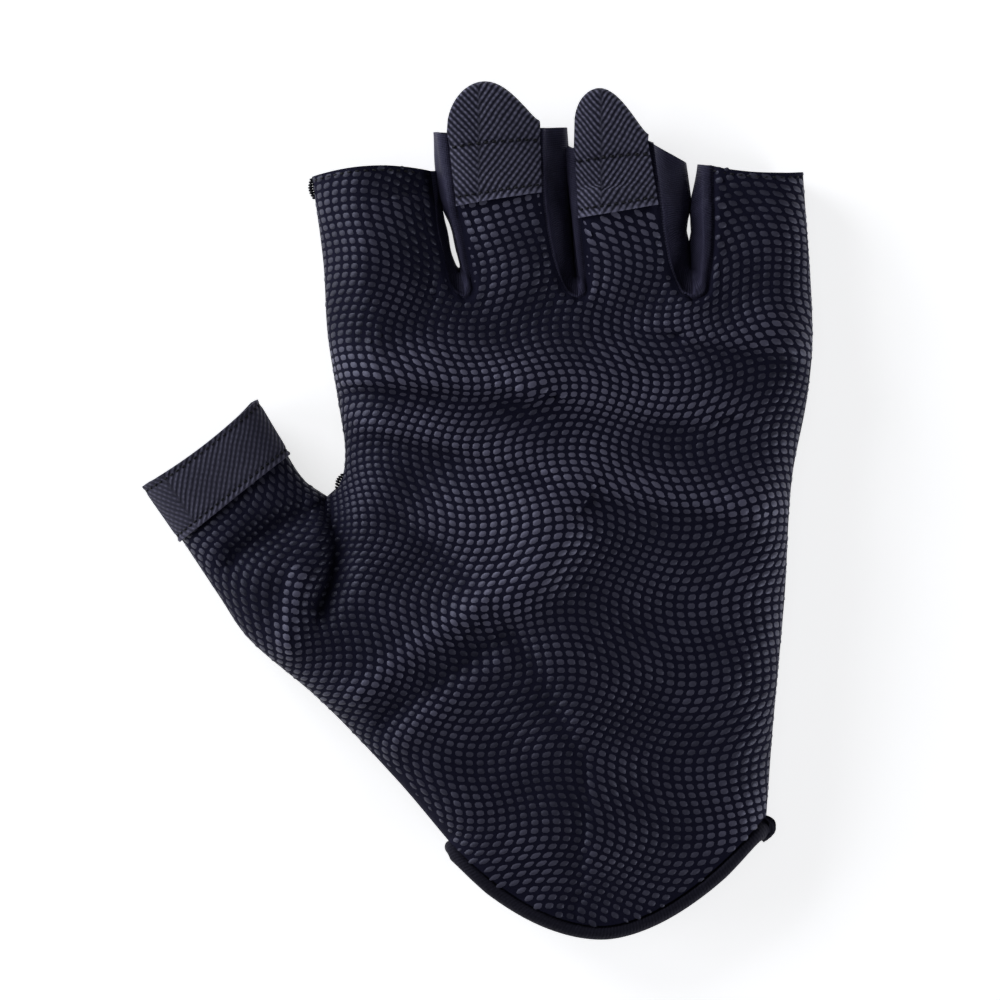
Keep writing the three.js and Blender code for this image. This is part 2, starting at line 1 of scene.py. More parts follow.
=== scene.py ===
# %% [markdown]
# # A short-finger fitness glove, laid palm up
#
# A training glove is a flat-cut thing: a palm of thin suede cloth printed with rubbery grip
# dots, a plain knitted back, strips of stretch cloth in the slits between the fingers, woven
# tape on the thumb and two fingers, and a binding round the wrist. It is sewn inside out and
# turned, so all its edges roll softly inwards.
#
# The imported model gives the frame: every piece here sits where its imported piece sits. The
# packed skins are coarse, so each one is laid again as a fine sheet of cloth.

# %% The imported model
import math

import bpy
import numpy as np
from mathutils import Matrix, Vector
from mathutils.bvhtree import BVHTree
from mathutils.interpolate import poly_3d_calc


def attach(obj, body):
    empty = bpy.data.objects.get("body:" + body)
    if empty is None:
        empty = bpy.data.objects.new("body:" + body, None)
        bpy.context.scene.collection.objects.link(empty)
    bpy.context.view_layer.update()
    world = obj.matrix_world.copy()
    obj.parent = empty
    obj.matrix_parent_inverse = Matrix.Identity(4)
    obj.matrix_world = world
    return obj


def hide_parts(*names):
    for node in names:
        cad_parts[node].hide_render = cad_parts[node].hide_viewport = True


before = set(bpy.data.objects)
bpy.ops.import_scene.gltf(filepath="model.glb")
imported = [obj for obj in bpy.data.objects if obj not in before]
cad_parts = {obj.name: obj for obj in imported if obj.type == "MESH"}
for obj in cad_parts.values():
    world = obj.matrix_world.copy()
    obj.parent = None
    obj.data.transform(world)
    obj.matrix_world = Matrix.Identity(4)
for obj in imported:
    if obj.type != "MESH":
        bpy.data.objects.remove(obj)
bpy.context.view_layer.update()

print("packed nodes:", ", ".join(sorted(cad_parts)))

# %% [markdown]
# ## Sizes
#
# Cloth is easiest to think about in millimetres, so all sizes here are millimetres and are
# turned into metres only when a mesh is made. X runs towards the little finger, Y towards the
# fingertips and Z up from the table.

# %% Cloth thicknesses and the outline of the glove
MM = 0.001
PALM_CLOTH = 1.2
BACK_CLOTH = 1.1
SIDE_CLOTH = 0.9
TAPE_CLOTH = 0.75

KNUCKLE_Y = 44.4

# How far the rounding of an edge reaches, in half heights, and the hair's breadth that counts as
# the very edge, so that palm and back meet there
EDGE_SPREAD = 1.15
EDGE_HAIR = 0.035

THUMB_CROTCH = (-31.7, 2.9)
INDEX_SIDE = [THUMB_CROTCH, (-29.7, 4.4), (-28.3, 7.6), (-27.9, 13.0), (-29.4, 23.1),
              (-31.6, 37.0), (-32.5, 52.0), (-34.9, 70.0)]
THUMB_INNER_SIDE = [THUMB_CROTCH, (-36.5, 6.3), (-41.8, 14.7), (-46.8, 23.1)]
THUMB_OUTER_SIDE = [(-6.6, -69.0), (-17.0, -56.7), (-33.2, -39.9), (-47.9, -27.3),
                    (-54.4, -18.0), (-62.2, -6.3), (-70.2, 5.2)]
LITTLE_SIDE = [(60.6, -64.0), (61.9, -46.0), (64.4, -18.0), (65.9, 6.3), (69.2, 24.0),
               (70.3, 38.0), (68.3, 71.0)]
WRIST_LEFT, WRIST_RIGHT = THUMB_OUTER_SIDE[0], LITTLE_SIDE[0]
WRIST_DROP = 20.7

# Each slit: its middle line from the web up, the edges of the palm cloth beside it, and at which
# heights it stands open by how much on either side
SLITS = [
    {"name": "index_middle",
     "middle": [(-3.8, 50.2), (-5.2, 54.6), (-6.0, 58.8), (-8.0, 65.1), (-9.1, 72.5), (-9.2, 79.4)],
     "left": [(-2.7, KNUCKLE_Y), (-4.3, 45.1), (-5.6, 47.2), (-6.9, 52.5), (-8.4, 58.5), (-9.2, 65.5),
              (-9.9, 71.2)],
     "right": [(-2.7, KNUCKLE_Y), (-1.6, 45.1), (-1.3, 47.2), (-3.0, 56.7), (-4.8, 66.1), (-6.3, 78.9)],
     "open": [(50.6, 0), (51.4, 0.4), (53.5, 0.55), (60.5, 0.4), (63.0, 0)]},
    {"name": "middle_ring",
     "middle": [(20.6, 49.2), (20.2, 53.0), (19.4, 65.1), (19.0, 80.4)],
     "left": [(21.0, KNUCKLE_Y), (19.2, 45.1), (18.0, 46.8), (15.6, 53.5), (13.6, 65.1), (13.2, 80.2)],
     "right": [(21.0, KNUCKLE_Y), (22.5, 45.1), (22.8, 47.2), (22.1, 54.0), (21.3, 62.0), (20.5, 76.0)],
     "open": [(75.0, 0), (80.4, 0.3)]},
    {"name": "ring_little",
     "middle": [(44.7, 51.0), (44.3, 59.2), (44.8, 66.0), (45.1, 73.0)],
     "left": [(45.0, KNUCKLE_Y), (43.0, 45.1), (42.0, 46.6), (39.9, 52.5), (37.8, 65.1), (36.3, 75.6)],
     "right": [(45.0, KNUCKLE_Y), (47.1, 45.1), (48.0, 47.0), (49.0, 55.0), (49.1, 72.5)],
     "open": [(56.4, 0), (58.6, 0.45), (61.4, 0.2), (62.4, 0), (65.6, 0), (73.0, 1.35)]},
]

# Each finger: where the palm's hem ends left and right, its bow, and where the back's hem ends
FINGERS = [
    {"name": "index", "hem": (70.0, 71.2), "bow": 1.6, "side": (70.0, 71.2)},
    {"name": "middle", "hem": (78.8, 80.2), "bow": 0.6, "side": (79.4, 80.4)},
    {"name": "ring", "hem": (75.8, 77.2), "bow": 0.5, "side": (76.2, 73.0)},
    {"name": "little", "hem": (72.2, 71.0), "bow": -0.7, "side": (72.6, 71.0)},
]
print("palm", round(LITTLE_SIDE[3][0] - INDEX_SIDE[3][0], 1), "mm across")

# %% [markdown]
# ## Curves and steps
#
# A drawn outline is a few points joined by a smooth curve. `smooth_x` gives the curve's x at
# any height. Steps along a row lie closer together at its ends, because that is where cloth
# rolls over an edge and a mesh needs its points.


# %% Smooth curves and crowded steps
def mix(a, b, t):
    return a + (b - a) * t


def smooth_x(points, heights):
    """x at each height on a smooth curve through points that run upwards"""
    x, y = np.array(points, float).T
    last = len(x) - 1
    i = np.searchsorted(y[1:-1], heights)
    start = (x[i + 1] - x[np.maximum(i - 1, 0)]) / (y[i + 1] - y[np.maximum(i - 1, 0)])
    end = (x[np.minimum(i + 2, last)] - x[i]) / (y[np.minimum(i + 2, last)] - y[i])
    span = y[i + 1] - y[i]
    t = (heights - y[i]) / span
    return ((2 * t**3 - 3 * t**2 + 1) * x[i] + (t**3 - 2 * t**2 + t) * span * start
            + (3 * t**2 - 2 * t**3) * x[i + 1] + (t**3 - t**2) * span * end)


def along(curve, shares, top=None):
    """Points at shares of the way up a curve, which may end at another height"""
    heights = mix(curve[0][1], curve[-1][1] if top is None else top, np.asarray(shares, float))
    return np.column_stack([smooth_x(curve, heights), heights])


def end_steps(count, crowding=0.15):
    t = np.linspace(0, 1, count + 1)
    return t - crowding * np.sin(2 * np.pi * t)


def start_steps(count, power=1.4):
    return np.linspace(0, 1, count + 1) ** power


print("five places, crowded at both ends:", end_steps(4).round(2))
print("five places, crowded at the start:", start_steps(4).round(2))


# %% [markdown]
# ## The body inside the cloth
#
# The glove is modelled over a soft body that fills it. Seen from above, the body has the
# glove's outline; its height is read from a handful of places, and every edge is rounded like
# half an ellipse. Any point of the plan can then be lifted onto the upper or lower surface.


# %% The silhouettes of the body
# How far the body goes on below the wrist's lowest point, so that the binding has something to lie on
BELOW_WRIST = 4.8


def slit_side(slit, side, shares, top):
    """One side of a slit; its listed heights and half widths say where it stands open"""
    points = along(slit["middle"], shares, top)
    heights, widths = np.array(slit["open"]).T
    points[:, 0] += side * np.interp(points[:, 1], heights, widths)
    return points


def below_seam(corner):
    """A side seam carried straight on below its wrist corner"""
    return np.array([(corner[0], corner[1] - WRIST_DROP - BELOW_WRIST), corner])


fine = np.linspace(0, 1, 61)
silhouettes = [below_seam(WRIST_LEFT), below_seam(WRIST_RIGHT), along(INDEX_SIDE, fine),
               along(THUMB_INNER_SIDE, fine), along(THUMB_OUTER_SIDE, fine), along(LITTLE_SIDE, fine)]
for number, slit in enumerate(SLITS):
    silhouettes.append(slit_side(slit, -1, fine, FINGERS[number]["side"][1]))
    silhouettes.append(slit_side(slit, 1, fine, FINGERS[number + 1]["side"][0]))
edge_start = np.concatenate([line[:-1] for line in silhouettes])
edge_run = np.concatenate([line[1:] - line[:-1] for line in silhouettes])
print(len(edge_start), "short edges outline the body")


# %% Distances in plan
def nearest_on(points, start, run):
    """Nearest place to each point on a set of straight pieces: its distance, place and piece"""
    distance, foot, piece = [], [], []
    for some in np.array_split(points, max(1, len(points) // 1500)):
        p = some[:, None]
        share = np.clip(((p - start) * run).sum(2) / (run**2).sum(1), 0, 1)
        feet = start + share[..., None] * run
        square = ((p - feet) ** 2).sum(2)
        best = square.argmin(1)
        rows = np.arange(len(some))
        distance.append(np.sqrt(square[rows, best]))
        foot.append(feet[rows, best])
        piece.append(best)
    return np.concatenate(distance), np.concatenate(foot), np.concatenate(piece)


def beside(points, line):
    """Distance to a line of several points, positive on its left seen along the line"""
    line = np.array(line, float)
    start, run = line[:-1], line[1:] - line[:-1]
    distance, foot, piece = nearest_on(points, start, run)
    away = points - foot
    across = run[piece, 0] * away[:, 1] - run[piece, 1] * away[:, 0]
    return distance * np.where(across < 0, -1, 1)


print("the last web lies", round(-beside(np.array([SLITS[2]["middle"][0]]), INDEX_SIDE)[0], 1),
      "mm from the index finger's side")


# %% How high the body stands
# How far round its place each height counts, and the heights of the body: x, y, height
FILL_REACH = 17
FILL = [
    (-22, 68, 15.5), (4, 76, 15), (32, 73, 15), (58, 68, 14.5),
    (-18, 38, 18.5), (22, 38, 19), (58, 36, 17.5),
    (-8, 12, 21.5), (36, 12, 21.5), (14, -16, 23), (50, -22, 20.5),
    (24, -50, 19.5), (-14, -42, 19), (27, -70, 15.5), (27, -88, 11.5),
    (-38, -12, 19), (-58, 12, 16),
]


def fill_height(points):
    """How high the body stands at each point, from the places round it"""
    place = np.array(FILL, float)
    square = ((points[:, None] - place[:, :2]) ** 2).sum(2)
    weight = np.exp(-square / (2 * FILL_REACH**2))
    return weight @ place[:, 2] / weight.sum(1)


print("the body is", fill_height(np.array([[14.0, -16.0]])).round(1)[0], "mm high in mid palm")


# %% [markdown]
# ## Folds
#
# An empty glove keeps the creases of the hand that wore it. Each fold is a line with a height
# and two widths, one for each side, so that a fold can be steep on one side and soft on the
# other. A few slow waves stand for the small unevenness of real cloth. The last two rows of the
# table are broad swells that set the light and dark sides of a finger and of the palm.

# %% The folds of the palm
# line, width on its left, width on its right, how far it rises or sinks
FOLDS = [
    ([(-31.0, 1.2), (-30.2, -3.0), (-29.6, -9.0), (-30.6, -15.0), (-33.0, -20.0)], 3.4, 2.0, -3.2),
    ([(-30.0, 27.2), (-16.4, 27.2), (-3.8, 26.2), (10.9, 24.4)], 7.0, 1.9, 3.2),
    ([(10.9, 24.4), (25.6, 22.0), (48.0, 19.8)], 6.5, 2.2, 1.6),
    ([(-24.5, 18.2), (-10.1, 15.6), (4.6, 11.6), (25.6, 5.0), (46.6, 1.4), (59.2, -0.6)], 6.0, 2.2, 2.1),
    ([(44.6, 36.6), (59.2, 35.0), (69.0, 32.6)], 8.0, 2.0, 2.2),
    ([(3.0, -21.0), (12.4, -13.0), (18.6, -3.6)], 8.5, 5.0, 3.0),
    ([(-24.7, -38.8), (-11.0, -28.6), (0.4, -19.6)], 3.4, 2.4, 1.5),
    ([(-19.4, -43.4), (-5.5, -34.2), (4.6, -26.6)], 2.0, 3.0, -0.9),
    ([(-18.1, -50.4), (-8.0, -41.3), (5.7, -31.0)], 3.0, 2.8, 1.1),
    ([(5.7, -24.1), (13.0, -34.6), (22.5, -54.6), (21.6, -71.4), (21.0, -81.9)], 1.6, 4.5, -1.0),
    ([(-16.4, -2.1), (-8.0, -9.0), (0.4, -16.8)], 1.5, 2.2, -0.7),
    ([(-51.0, -9.0), (-44.0, -3.9), (-37.0, -0.2)], 2.0, 4.0, -2.1),
    ([(-39.8, -28.3), (-38.6, -21.0), (-37.0, -13.5)], 2.4, 2.4, 1.8),
    ([(-1.0, -2.0), (6.0, 1.0)], 9.0, 9.0, 2.0),
    ([(-30.0, 41.0), (50.0, 41.0)], 6.0, 6.0, -1.2),
    ([(-4.0, 66.0), (17.0, 67.0)], 6.0, 14.0, 2.6),
    ([(22.0, 62.0), (40.0, 64.0)], 6.0, 11.0, 1.4),
    ([(-9.2, 50.0), (-10.2, 73.0)], 6.5, 3.0, -1.7),
    ([(16.6, 50.0), (13.8, 70.0)], 5.0, 3.0, -1.2),
    ([(-24.0, 74.0), (-23.0, 44.0)], 9.5, 6.0, 2.4),
    ([(17.0, -6.0), (21.0, -30.0), (20.0, -60.0), (19.0, -80.0)], 15.0, 14.0, 2.8),
]

# Slow waves: length, way in degrees, start in degrees, height
WAVES = [(27, 20, 40, 0.2), (19, 75, 200, 0.18), (13, 130, 310, 0.14), (9, 48, 120, 0.08)]

# The folds stand on cloth that has settled by this much
SETTLED = 1.8


def fold_rise(points, folds=FOLDS):
    """How far the folds and the slow waves lift each point"""
    rise = np.zeros(len(points))
    for line, left, right, height in folds:
        far = beside(points, line)
        rise += height * np.exp(-((far / np.where(far > 0, left, right)) ** 2))
    for length, way, start, height in WAVES:
        way, start = math.radians(way), math.radians(start)
        run = points[:, 0] * math.cos(way) + points[:, 1] * math.sin(way)
        rise += height * np.sin(2 * np.pi * run / length + start)
    return rise


print(len(FOLDS), "folds; mid palm rises by",
      (fold_rise(np.array([[3.0, 0.0]])) - SETTLED).round(1)[0], "mm")


# %% Lifting the plan onto the body
def surface(points, face):
    """Plan points lifted onto the upper (1) or lower (-1) surface, and the way out of the body"""
    shape = points.shape[:-1]
    points = points.reshape(-1, 2)
    half = fill_height(points) / 2
    spread = half * EDGE_SPREAD
    distance, foot, _ = nearest_on(points, edge_start, edge_run)
    out = 1 - np.clip((distance - EDGE_HAIR) / spread, 0, 1)
    up = np.sqrt(1 - out**2)
    way = (points - foot) / np.maximum(distance, 1e-9)[:, None]
    normal = np.column_stack([-way * (out / spread)[:, None], face * up / half])
    normal /= np.linalg.norm(normal, axis=1)[:, None]
    z = half + face * half * up
    if face > 0:
        z += (fold_rise(points) - SETTLED) * up
    place = np.column_stack([points, z])
    return place.reshape(*shape, 3), normal.reshape(*shape, 3)


def near_edge(row):
    """Edge points of a plan row, drawn in by a hair so that their way inwards is known"""
    row = row.copy()
    for end, inner in ((0, 1), (-1, -2)):
        step = row[:, inner] - row[:, end]
        row[:, end] += 0.0006 * step / np.linalg.norm(step, axis=1)[:, None]
    return row


for name, face in (("palm", 1), ("back", -1)):
    print("the middle of the", name, "lies at", surface(np.array([[3.0, 0.0]]), face)[0][0].round(1))


# %% [markdown]
# ## From plan to mesh
#
# A panel is drawn as rows of plan points: four fingers, the hand and the thumb. Rows are lifted
# onto the body and joined into one mesh, which gets its wall thickness from a Solidify modifier
# and a soft rim from a Bevel. The skin is the outside face, so the wall grows inwards.


# %% Plans of the fingers
# How far the back cloth's edge lies from a slit: below its web, and how much more beside it
UNDER_REACH = 3.2
UNDER_MORE = 0.45


def under_side(slit, side, shares, top):
    """The back cloth's edge, which lies under the fingers beside the slit"""
    web = slit["middle"][0][1]
    heights = mix(web - UNDER_REACH, top, np.asarray(shares, float))
    opened = np.minimum(1, np.sqrt(np.maximum(0, heights - web + UNDER_REACH) / UNDER_REACH))
    x = smooth_x(slit["middle"], np.maximum(heights, web))
    return np.column_stack([x + side * (UNDER_REACH + UNDER_MORE) * opened, heights])


def slit_edge(face, slit, side, shares, top):
    """The edge of the palm's or the back's cloth beside a slit"""
    if face < 0:
        return under_side(slit, side, shares, top)
    return along(slit["left" if side < 0 else "right"], shares, top)


def hems(face, number):
    """How high a finger's hem ends left and right, on the palm's or the back's cloth"""
    return FINGERS[number]["hem" if face > 0 else "side"]


def between(left, right, shares):
    """A grid of points at shares of the way from each point of one line to that of another"""
    return left[:, None] + (right - left)[:, None] * shares[None, :, None]


def finger_plan(face, number, rows, columns):
    """Rows of plan points from the knuckles to the hem of one finger"""
    low, high = hems(face, number)
    shares = start_steps(rows)
    outer_left = along([(0, KNUCKLE_Y), (0, low)], shares)
    outer_right = along([(0, KNUCKLE_Y), (0, high)], shares)
    outer_left[:, 0] = smooth_x(INDEX_SIDE, outer_left[:, 1])
    outer_right[:, 0] = smooth_x(LITTLE_SIDE, outer_right[:, 1])
    left = slit_edge(face, SLITS[number - 1], 1, shares, low) if number > 0 else outer_left
    right = slit_edge(face, SLITS[number], -1, shares, high) if number < 3 else outer_right
    across = end_steps(columns)
    plan = between(left, right, across)
    plan[..., 1] += FINGERS[number]["bow"] * (shares**4)[:, None] * 4 * across * (1 - across)
    return plan


print("index finger's plan:", finger_plan(1, 0, 30, 28).shape[:2], "rows and columns")


# %% Plans of the hand and the thumb
# How far the thumb's hem bows, and how full the curve of the palm's wrist edge is
THUMB_BOW = np.array([0.55, -0.85])
WRIST_POWER = 1.8

# How much the steps down the heel, which are also those across the thumb, crowd at both ends
HEEL_CROWDING = 0.08


def wrist_edge(face, across):
    """The wrist's edge from left to right: curved on the palm, straight on the back"""
    across = np.asarray(across, float)
    edge = mix(np.array(WRIST_LEFT), np.array(WRIST_RIGHT), across[:, None])
    if face > 0:
        edge[:, 1] -= WRIST_DROP * (1 - np.abs(2 * across - 1) ** WRIST_POWER)
    return edge


def hand_plan(face, palm_rows, heel_rows, columns):
    """Rows of plan points from the knuckles to the wrist edge"""
    knuckles = [finger_plan(face, number, 4, columns)[0] for number in range(4)]
    knuckles = np.concatenate([knuckles[0]] + [row[1:] for row in knuckles[1:]])
    across = (knuckles[:, 0] - knuckles[0, 0]) / (knuckles[-1, 0] - knuckles[0, 0])
    left, right = knuckles[0], knuckles[-1]
    crotch = (left[1] - THUMB_CROTCH[1]) / (left[1] - WRIST_LEFT[1])
    heel = end_steps(heel_rows, HEEL_CROWDING)[1:]
    steps = np.concatenate([start_steps(palm_rows, 1) * crotch, mix(crotch, 1, heel)])
    heights = mix(left[1], WRIST_LEFT[1], steps)
    left_end = np.column_stack([smooth_x(INDEX_SIDE, np.maximum(heights, THUMB_CROTCH[1])), heights])
    left_end[palm_rows + 1:] = mix(np.array(THUMB_CROTCH), np.array(WRIST_LEFT), heel[:, None])
    right_y = mix(right[1], WRIST_RIGHT[1], steps)
    right_end = np.column_stack([smooth_x(LITTLE_SIDE, right_y), right_y])
    plan = between(left_end, right_end, across)
    straight = mix(np.array(WRIST_LEFT), np.array(WRIST_RIGHT), across[:, None])[:, 1]
    bottom = wrist_edge(face, across)[:, 1] - straight
    top = knuckles[:, 1] - mix(left[1], right[1], across)
    plan[..., 1] += bottom * steps[:, None] ** 1.5 + top * (1 - steps[:, None]) ** 3
    return plan


def thumb_plan(rows, heel_rows):
    """Rows of plan points from the thumb's root to its hem, starting on the crotch side"""
    shares = start_steps(rows, 1.15)
    across = end_steps(heel_rows, HEEL_CROWDING)
    plan = between(along(THUMB_INNER_SIDE, shares), along(THUMB_OUTER_SIDE, shares), across)
    return plan + THUMB_BOW * (shares**6)[:, None, None] * (4 * across * (1 - across))[:, None]


print("hand's plan:", hand_plan(1, 38, 80, 28).shape[:2], "and thumb's:", thumb_plan(60, 80).shape[:2])


# %% Making a mesh of cloth
def only(piece):
    """Selects one object and nothing else"""
    bpy.ops.object.select_all(action="DESELECT")
    piece.select_set(True)
    bpy.context.view_layer.objects.active = piece


def grid_faces(rows, columns, first):
    """The four-cornered faces of a grid whose points are numbered from first"""
    a = first + np.arange(rows - 1)[:, None] * columns + np.arange(columns - 1)
    return np.stack([a, a + 1, a + columns + 1, a + columns], axis=-1).reshape(-1, 4)


def new_mesh(name, places, faces):
    """An object in metres from places in millimetres"""
    mesh = bpy.data.meshes.new(name)
    mesh.from_pydata((places * MM).tolist(), [], faces.tolist())
    piece = bpy.data.objects.new(name, mesh)
    bpy.context.scene.collection.objects.link(piece)
    return piece


def new_cloth(name, grids, flats=(), selvage=None):
    """One skin from grids of places; from outside, columns run to the right and rows run up.
    Flats are the same grids on the cutting table; selvage says how near a woven edge is."""
    faces, first = [], 0
    for grid in grids:
        faces.append(grid_faces(*grid.shape[:2], first))
        first += grid.shape[0] * grid.shape[1]
    piece = new_mesh(name, np.concatenate([g.reshape(-1, 3) for g in grids]), np.concatenate(faces))
    if flats:
        flat = np.concatenate([f.reshape(-1, 2) for f in flats]) * MM
        layer = piece.data.uv_layers.new(name="cloth")
        corners = np.empty(len(piece.data.loops), int)
        piece.data.loops.foreach_get("vertex_index", corners)
        layer.data.foreach_set("uv", flat[corners].astype(np.float32).ravel())
    if selvage is not None:
        layer = piece.data.attributes.new("selvage", "FLOAT", "POINT")
        layer.data.foreach_set("value", selvage.astype(np.float32).ravel())
    only(piece)
    bpy.ops.object.mode_set(mode="EDIT")
    bpy.ops.mesh.select_all(action="SELECT")
    bpy.ops.mesh.remove_doubles(threshold=0.003 * MM)
    bpy.ops.object.mode_set(mode="OBJECT")
    return piece


# A corner sharper than this is a cloth's rim, and is softened
SHARP = math.radians(62)


def thicken(piece, thickness, offset=-1, rim=0.22):
    """Gives a skin its wall and softens the wall's rim"""
    only(piece)
    wall = piece.modifiers.new("wall", "SOLIDIFY")
    wall.thickness, wall.offset = thickness * MM, offset
    bpy.ops.object.modifier_apply(modifier=wall.name)
    soft = piece.modifiers.new("rim", "BEVEL")
    soft.width, soft.segments = rim * MM, 2
    soft.limit_method, soft.angle_limit = "ANGLE", SHARP
    bpy.ops.object.modifier_apply(modifier=soft.name)
    bpy.ops.object.shade_smooth_by_angle(angle=SHARP)
    print(piece.name, len(piece.data.polygons), "faces")


# %% [markdown]
# ## The palm and the back
#
# The palm is one cloth from the fingertips to the wrist, thumb included. Where it is sewn to
# the side cloth of a slit, its edge rolls: it swells a little and then turns down.


# %% Laying the palm and the back cloth
def slit_roll(points):
    """How the palm swells beside a slit seam and turns down at its very edge"""
    rise = np.zeros(len(points))
    for number, slit in enumerate(SLITS):
        for side, finger in ((-1, number), (1, number + 1)):
            top = hems(1, finger)[0 if side > 0 else 1]
            far = np.abs(beside(points, slit_edge(1, slit, side, fine, top)))
            rise = np.maximum(rise, 0.55 * np.exp(-((far - 1.5) / 1.0) ** 2)) - np.exp(-((far / 0.7) ** 2))
    return rise


def panel(name, face, fineness):
    """The palm's or the back's skin; its fineness is the number of columns of a finger and of rows
    of a finger, of the hand above the thumb's crotch, of the heel and of the thumb"""
    columns, rows, palm, heel, thumb = fineness
    facing = (lambda grid: grid) if face > 0 else (lambda grid: grid[:, ::-1])

    def laid(plan):
        places = surface(near_edge(plan), face)[0]
        if face > 0:
            places[..., 2] += slit_roll(plan.reshape(-1, 2)).reshape(plan.shape[:2])
        return places

    fingers = [facing(laid(finger_plan(face, number, rows, columns))) for number in range(4)]
    hand = laid(hand_plan(face, palm, heel, columns))
    root = laid(thumb_plan(thumb, heel))
    root[0] = hand[palm:, 0]
    return new_cloth(name, [*fingers, facing(hand[::-1]), facing(root[:, ::-1])])


palm_cloth = panel("palm_cloth", 1, (28, 30, 38, 80, 60))
back_cloth = panel("back_cloth", -1, (16, 16, 20, 40, 30))
print("palm skin", len(palm_cloth.data.polygons), "back skin", len(back_cloth.data.polygons))


# %% [markdown]
# ## The cloth laid flat again
#
# Dots and weave are made while the cloth is flat, so each skin is unrolled with Unwrap, then
# turned and scaled until the middle of the hand lies where it does in plan. The result is a UV
# map in metres.

# %% Unrolling a skin
# The middle of the hand and how far it reaches each way, in metres
HAND_MIDDLE = (0.018, -0.012)
HAND_REACH = (0.034, 0.05)


def unroll(piece, mirrored):
    """Lays a skin flat as a UV map, and gives the width and length it is cut to"""
    only(piece)
    bpy.ops.object.mode_set(mode="EDIT")
    bpy.ops.mesh.select_all(action="SELECT")
    bpy.ops.uv.unwrap(method="ANGLE_BASED", margin=0)
    bpy.ops.object.mode_set(mode="OBJECT")
    mesh, layer = piece.data, piece.data.uv_layers.active
    layer.name = "cloth"
    corners = np.empty(len(mesh.loops), int)
    mesh.loops.foreach_get("vertex_index", corners)
    places = np.empty(len(mesh.vertices) * 3)
    mesh.vertices.foreach_get("co", places)
    places = places.reshape(-1, 3)[corners]
    uv = np.empty(len(mesh.loops) * 2)
    layer.data.foreach_get("uv", uv)
    flat = uv[::2] + 1j * uv[1::2]
    plan = places[:, 0] * (-1 if mirrored else 1) + 1j * places[:, 1]
    middle = (np.abs(places[:, :2] - HAND_MIDDLE) < HAND_REACH).all(1)
    fit = np.polyfit(flat[middle], plan[middle], 1)
    flat = np.polyval(fit, flat)
    if mirrored:
        flat = -flat.conjugate()
    layer.data.foreach_set("uv", np.column_stack([flat.real, flat.imag]).astype(np.float32).ravel())
    span = [round(float(np.ptp(part)) / MM) for part in (flat.real, flat.imag)]
    print(piece.name, "unrolls to", span, "mm")
    return span


palm_span = unroll(palm_cloth, False)
back_span = unroll(back_cloth, True)


# %% [markdown]
# ## Grip dots
#
# The palm is printed with low rubbery lozenges in rows and columns that run in waves. One dot is
# modelled from a square with its corners cut, drawn up and in to make a low dome. It is then
# copied onto every crossing of the printed lattice, bent and slanted with the lattice, and all
# copies are one mesh. The tapes cover some dots, and the seams cut the last ones of a row. The
# dots' colour is painted paler on the crests of the folds and darker in the creases, as painted
# light and painted shade partly standing for wear, and a few patches add painted light and painted shade of
# their own.

# %% One dot
bpy.ops.object.select_all(action="DESELECT")
bpy.ops.mesh.primitive_plane_add(size=1)
dot = bpy.context.object
bpy.ops.object.mode_set(mode="EDIT")
bpy.ops.mesh.select_all(action="SELECT")
bpy.ops.mesh.bevel(offset=0.24, segments=1, affect="VERTICES")
bpy.ops.mesh.extrude_region_move(TRANSFORM_OT_translate={"value": (0, 0, 1)})
bpy.ops.transform.resize(value=(0.62, 0.62, 1))
bpy.ops.object.mode_set(mode="OBJECT")
dot_places = np.array([v.co for v in dot.data.vertices])
dot_faces = [tuple(face.vertices) for face in dot.data.polygons
             if len(face.vertices) < 8 or face.center.z > 0.5]
bpy.data.objects.remove(dot)
print("one dot has", len(dot_faces), "faces")


# %% The printed lattice, on flat cloth
COLUMN_PITCH, ROW_PITCH = 2.22, 1.72

# The crests and troughs of both waves: how far along the cloth each lies, and its shift
COLUMN_WAVE = [(94.5, -0.6), (81.9, 3.0), (68.9, -0.2), (53.6, 3.1), (39.5, -0.2), (27.7, 2.9),
               (12.2, -2.7), (-3.4, 0.8), (-20.2, -5.3), (-34.4, -2.5), (-52.5, -9.5), (-66.2, -6.5),
               (-83.0, -13.7), (-97.7, -10.5)]
ROW_WAVE = [(-86.7, 4.0), (-66.8, 6.9), (-43.7, 1.1), (-24.8, 3.6), (-0.6, -1.9), (19.3, 1.1),
            (42.4, -4.8), (62.4, -1.7), (84.4, -7.6)]


def wave(crests, at):
    """A wave drawn through its crests and troughs, with half a cosine between each two"""
    place, shift = np.array(sorted(crests)).T
    i = np.clip(np.searchsorted(place, at) - 1, 0, len(place) - 2)
    t = np.clip((at - place[i]) / (place[i + 1] - place[i]), 0, 1)
    return mix(shift[i], shift[i + 1], (1 - np.cos(np.pi * t)) / 2)


i, j = np.meshgrid(np.arange(-52, 52), np.arange(-60, 60))
lattice_x, lattice_y = i * COLUMN_PITCH, j * ROW_PITCH
flat_x, flat_y = lattice_x.copy(), lattice_y.copy()
for _ in range(12):
    flat_x, flat_y = lattice_x + wave(COLUMN_WAVE, flat_y), lattice_y + wave(ROW_WAVE, flat_x)
print(flat_x.size, "crossings before the cloth's edge trims them")


# %% Finding a flat place on the curved cloth
def flat_tree(piece):
    """A search tree over the unrolled faces"""
    layer = piece.data.uv_layers["cloth"]
    corners = [(*corner.uv, 0) for corner in layer.data]
    return BVHTree.FromPolygons(corners, [tuple(face.loop_indices) for face in piece.data.polygons])


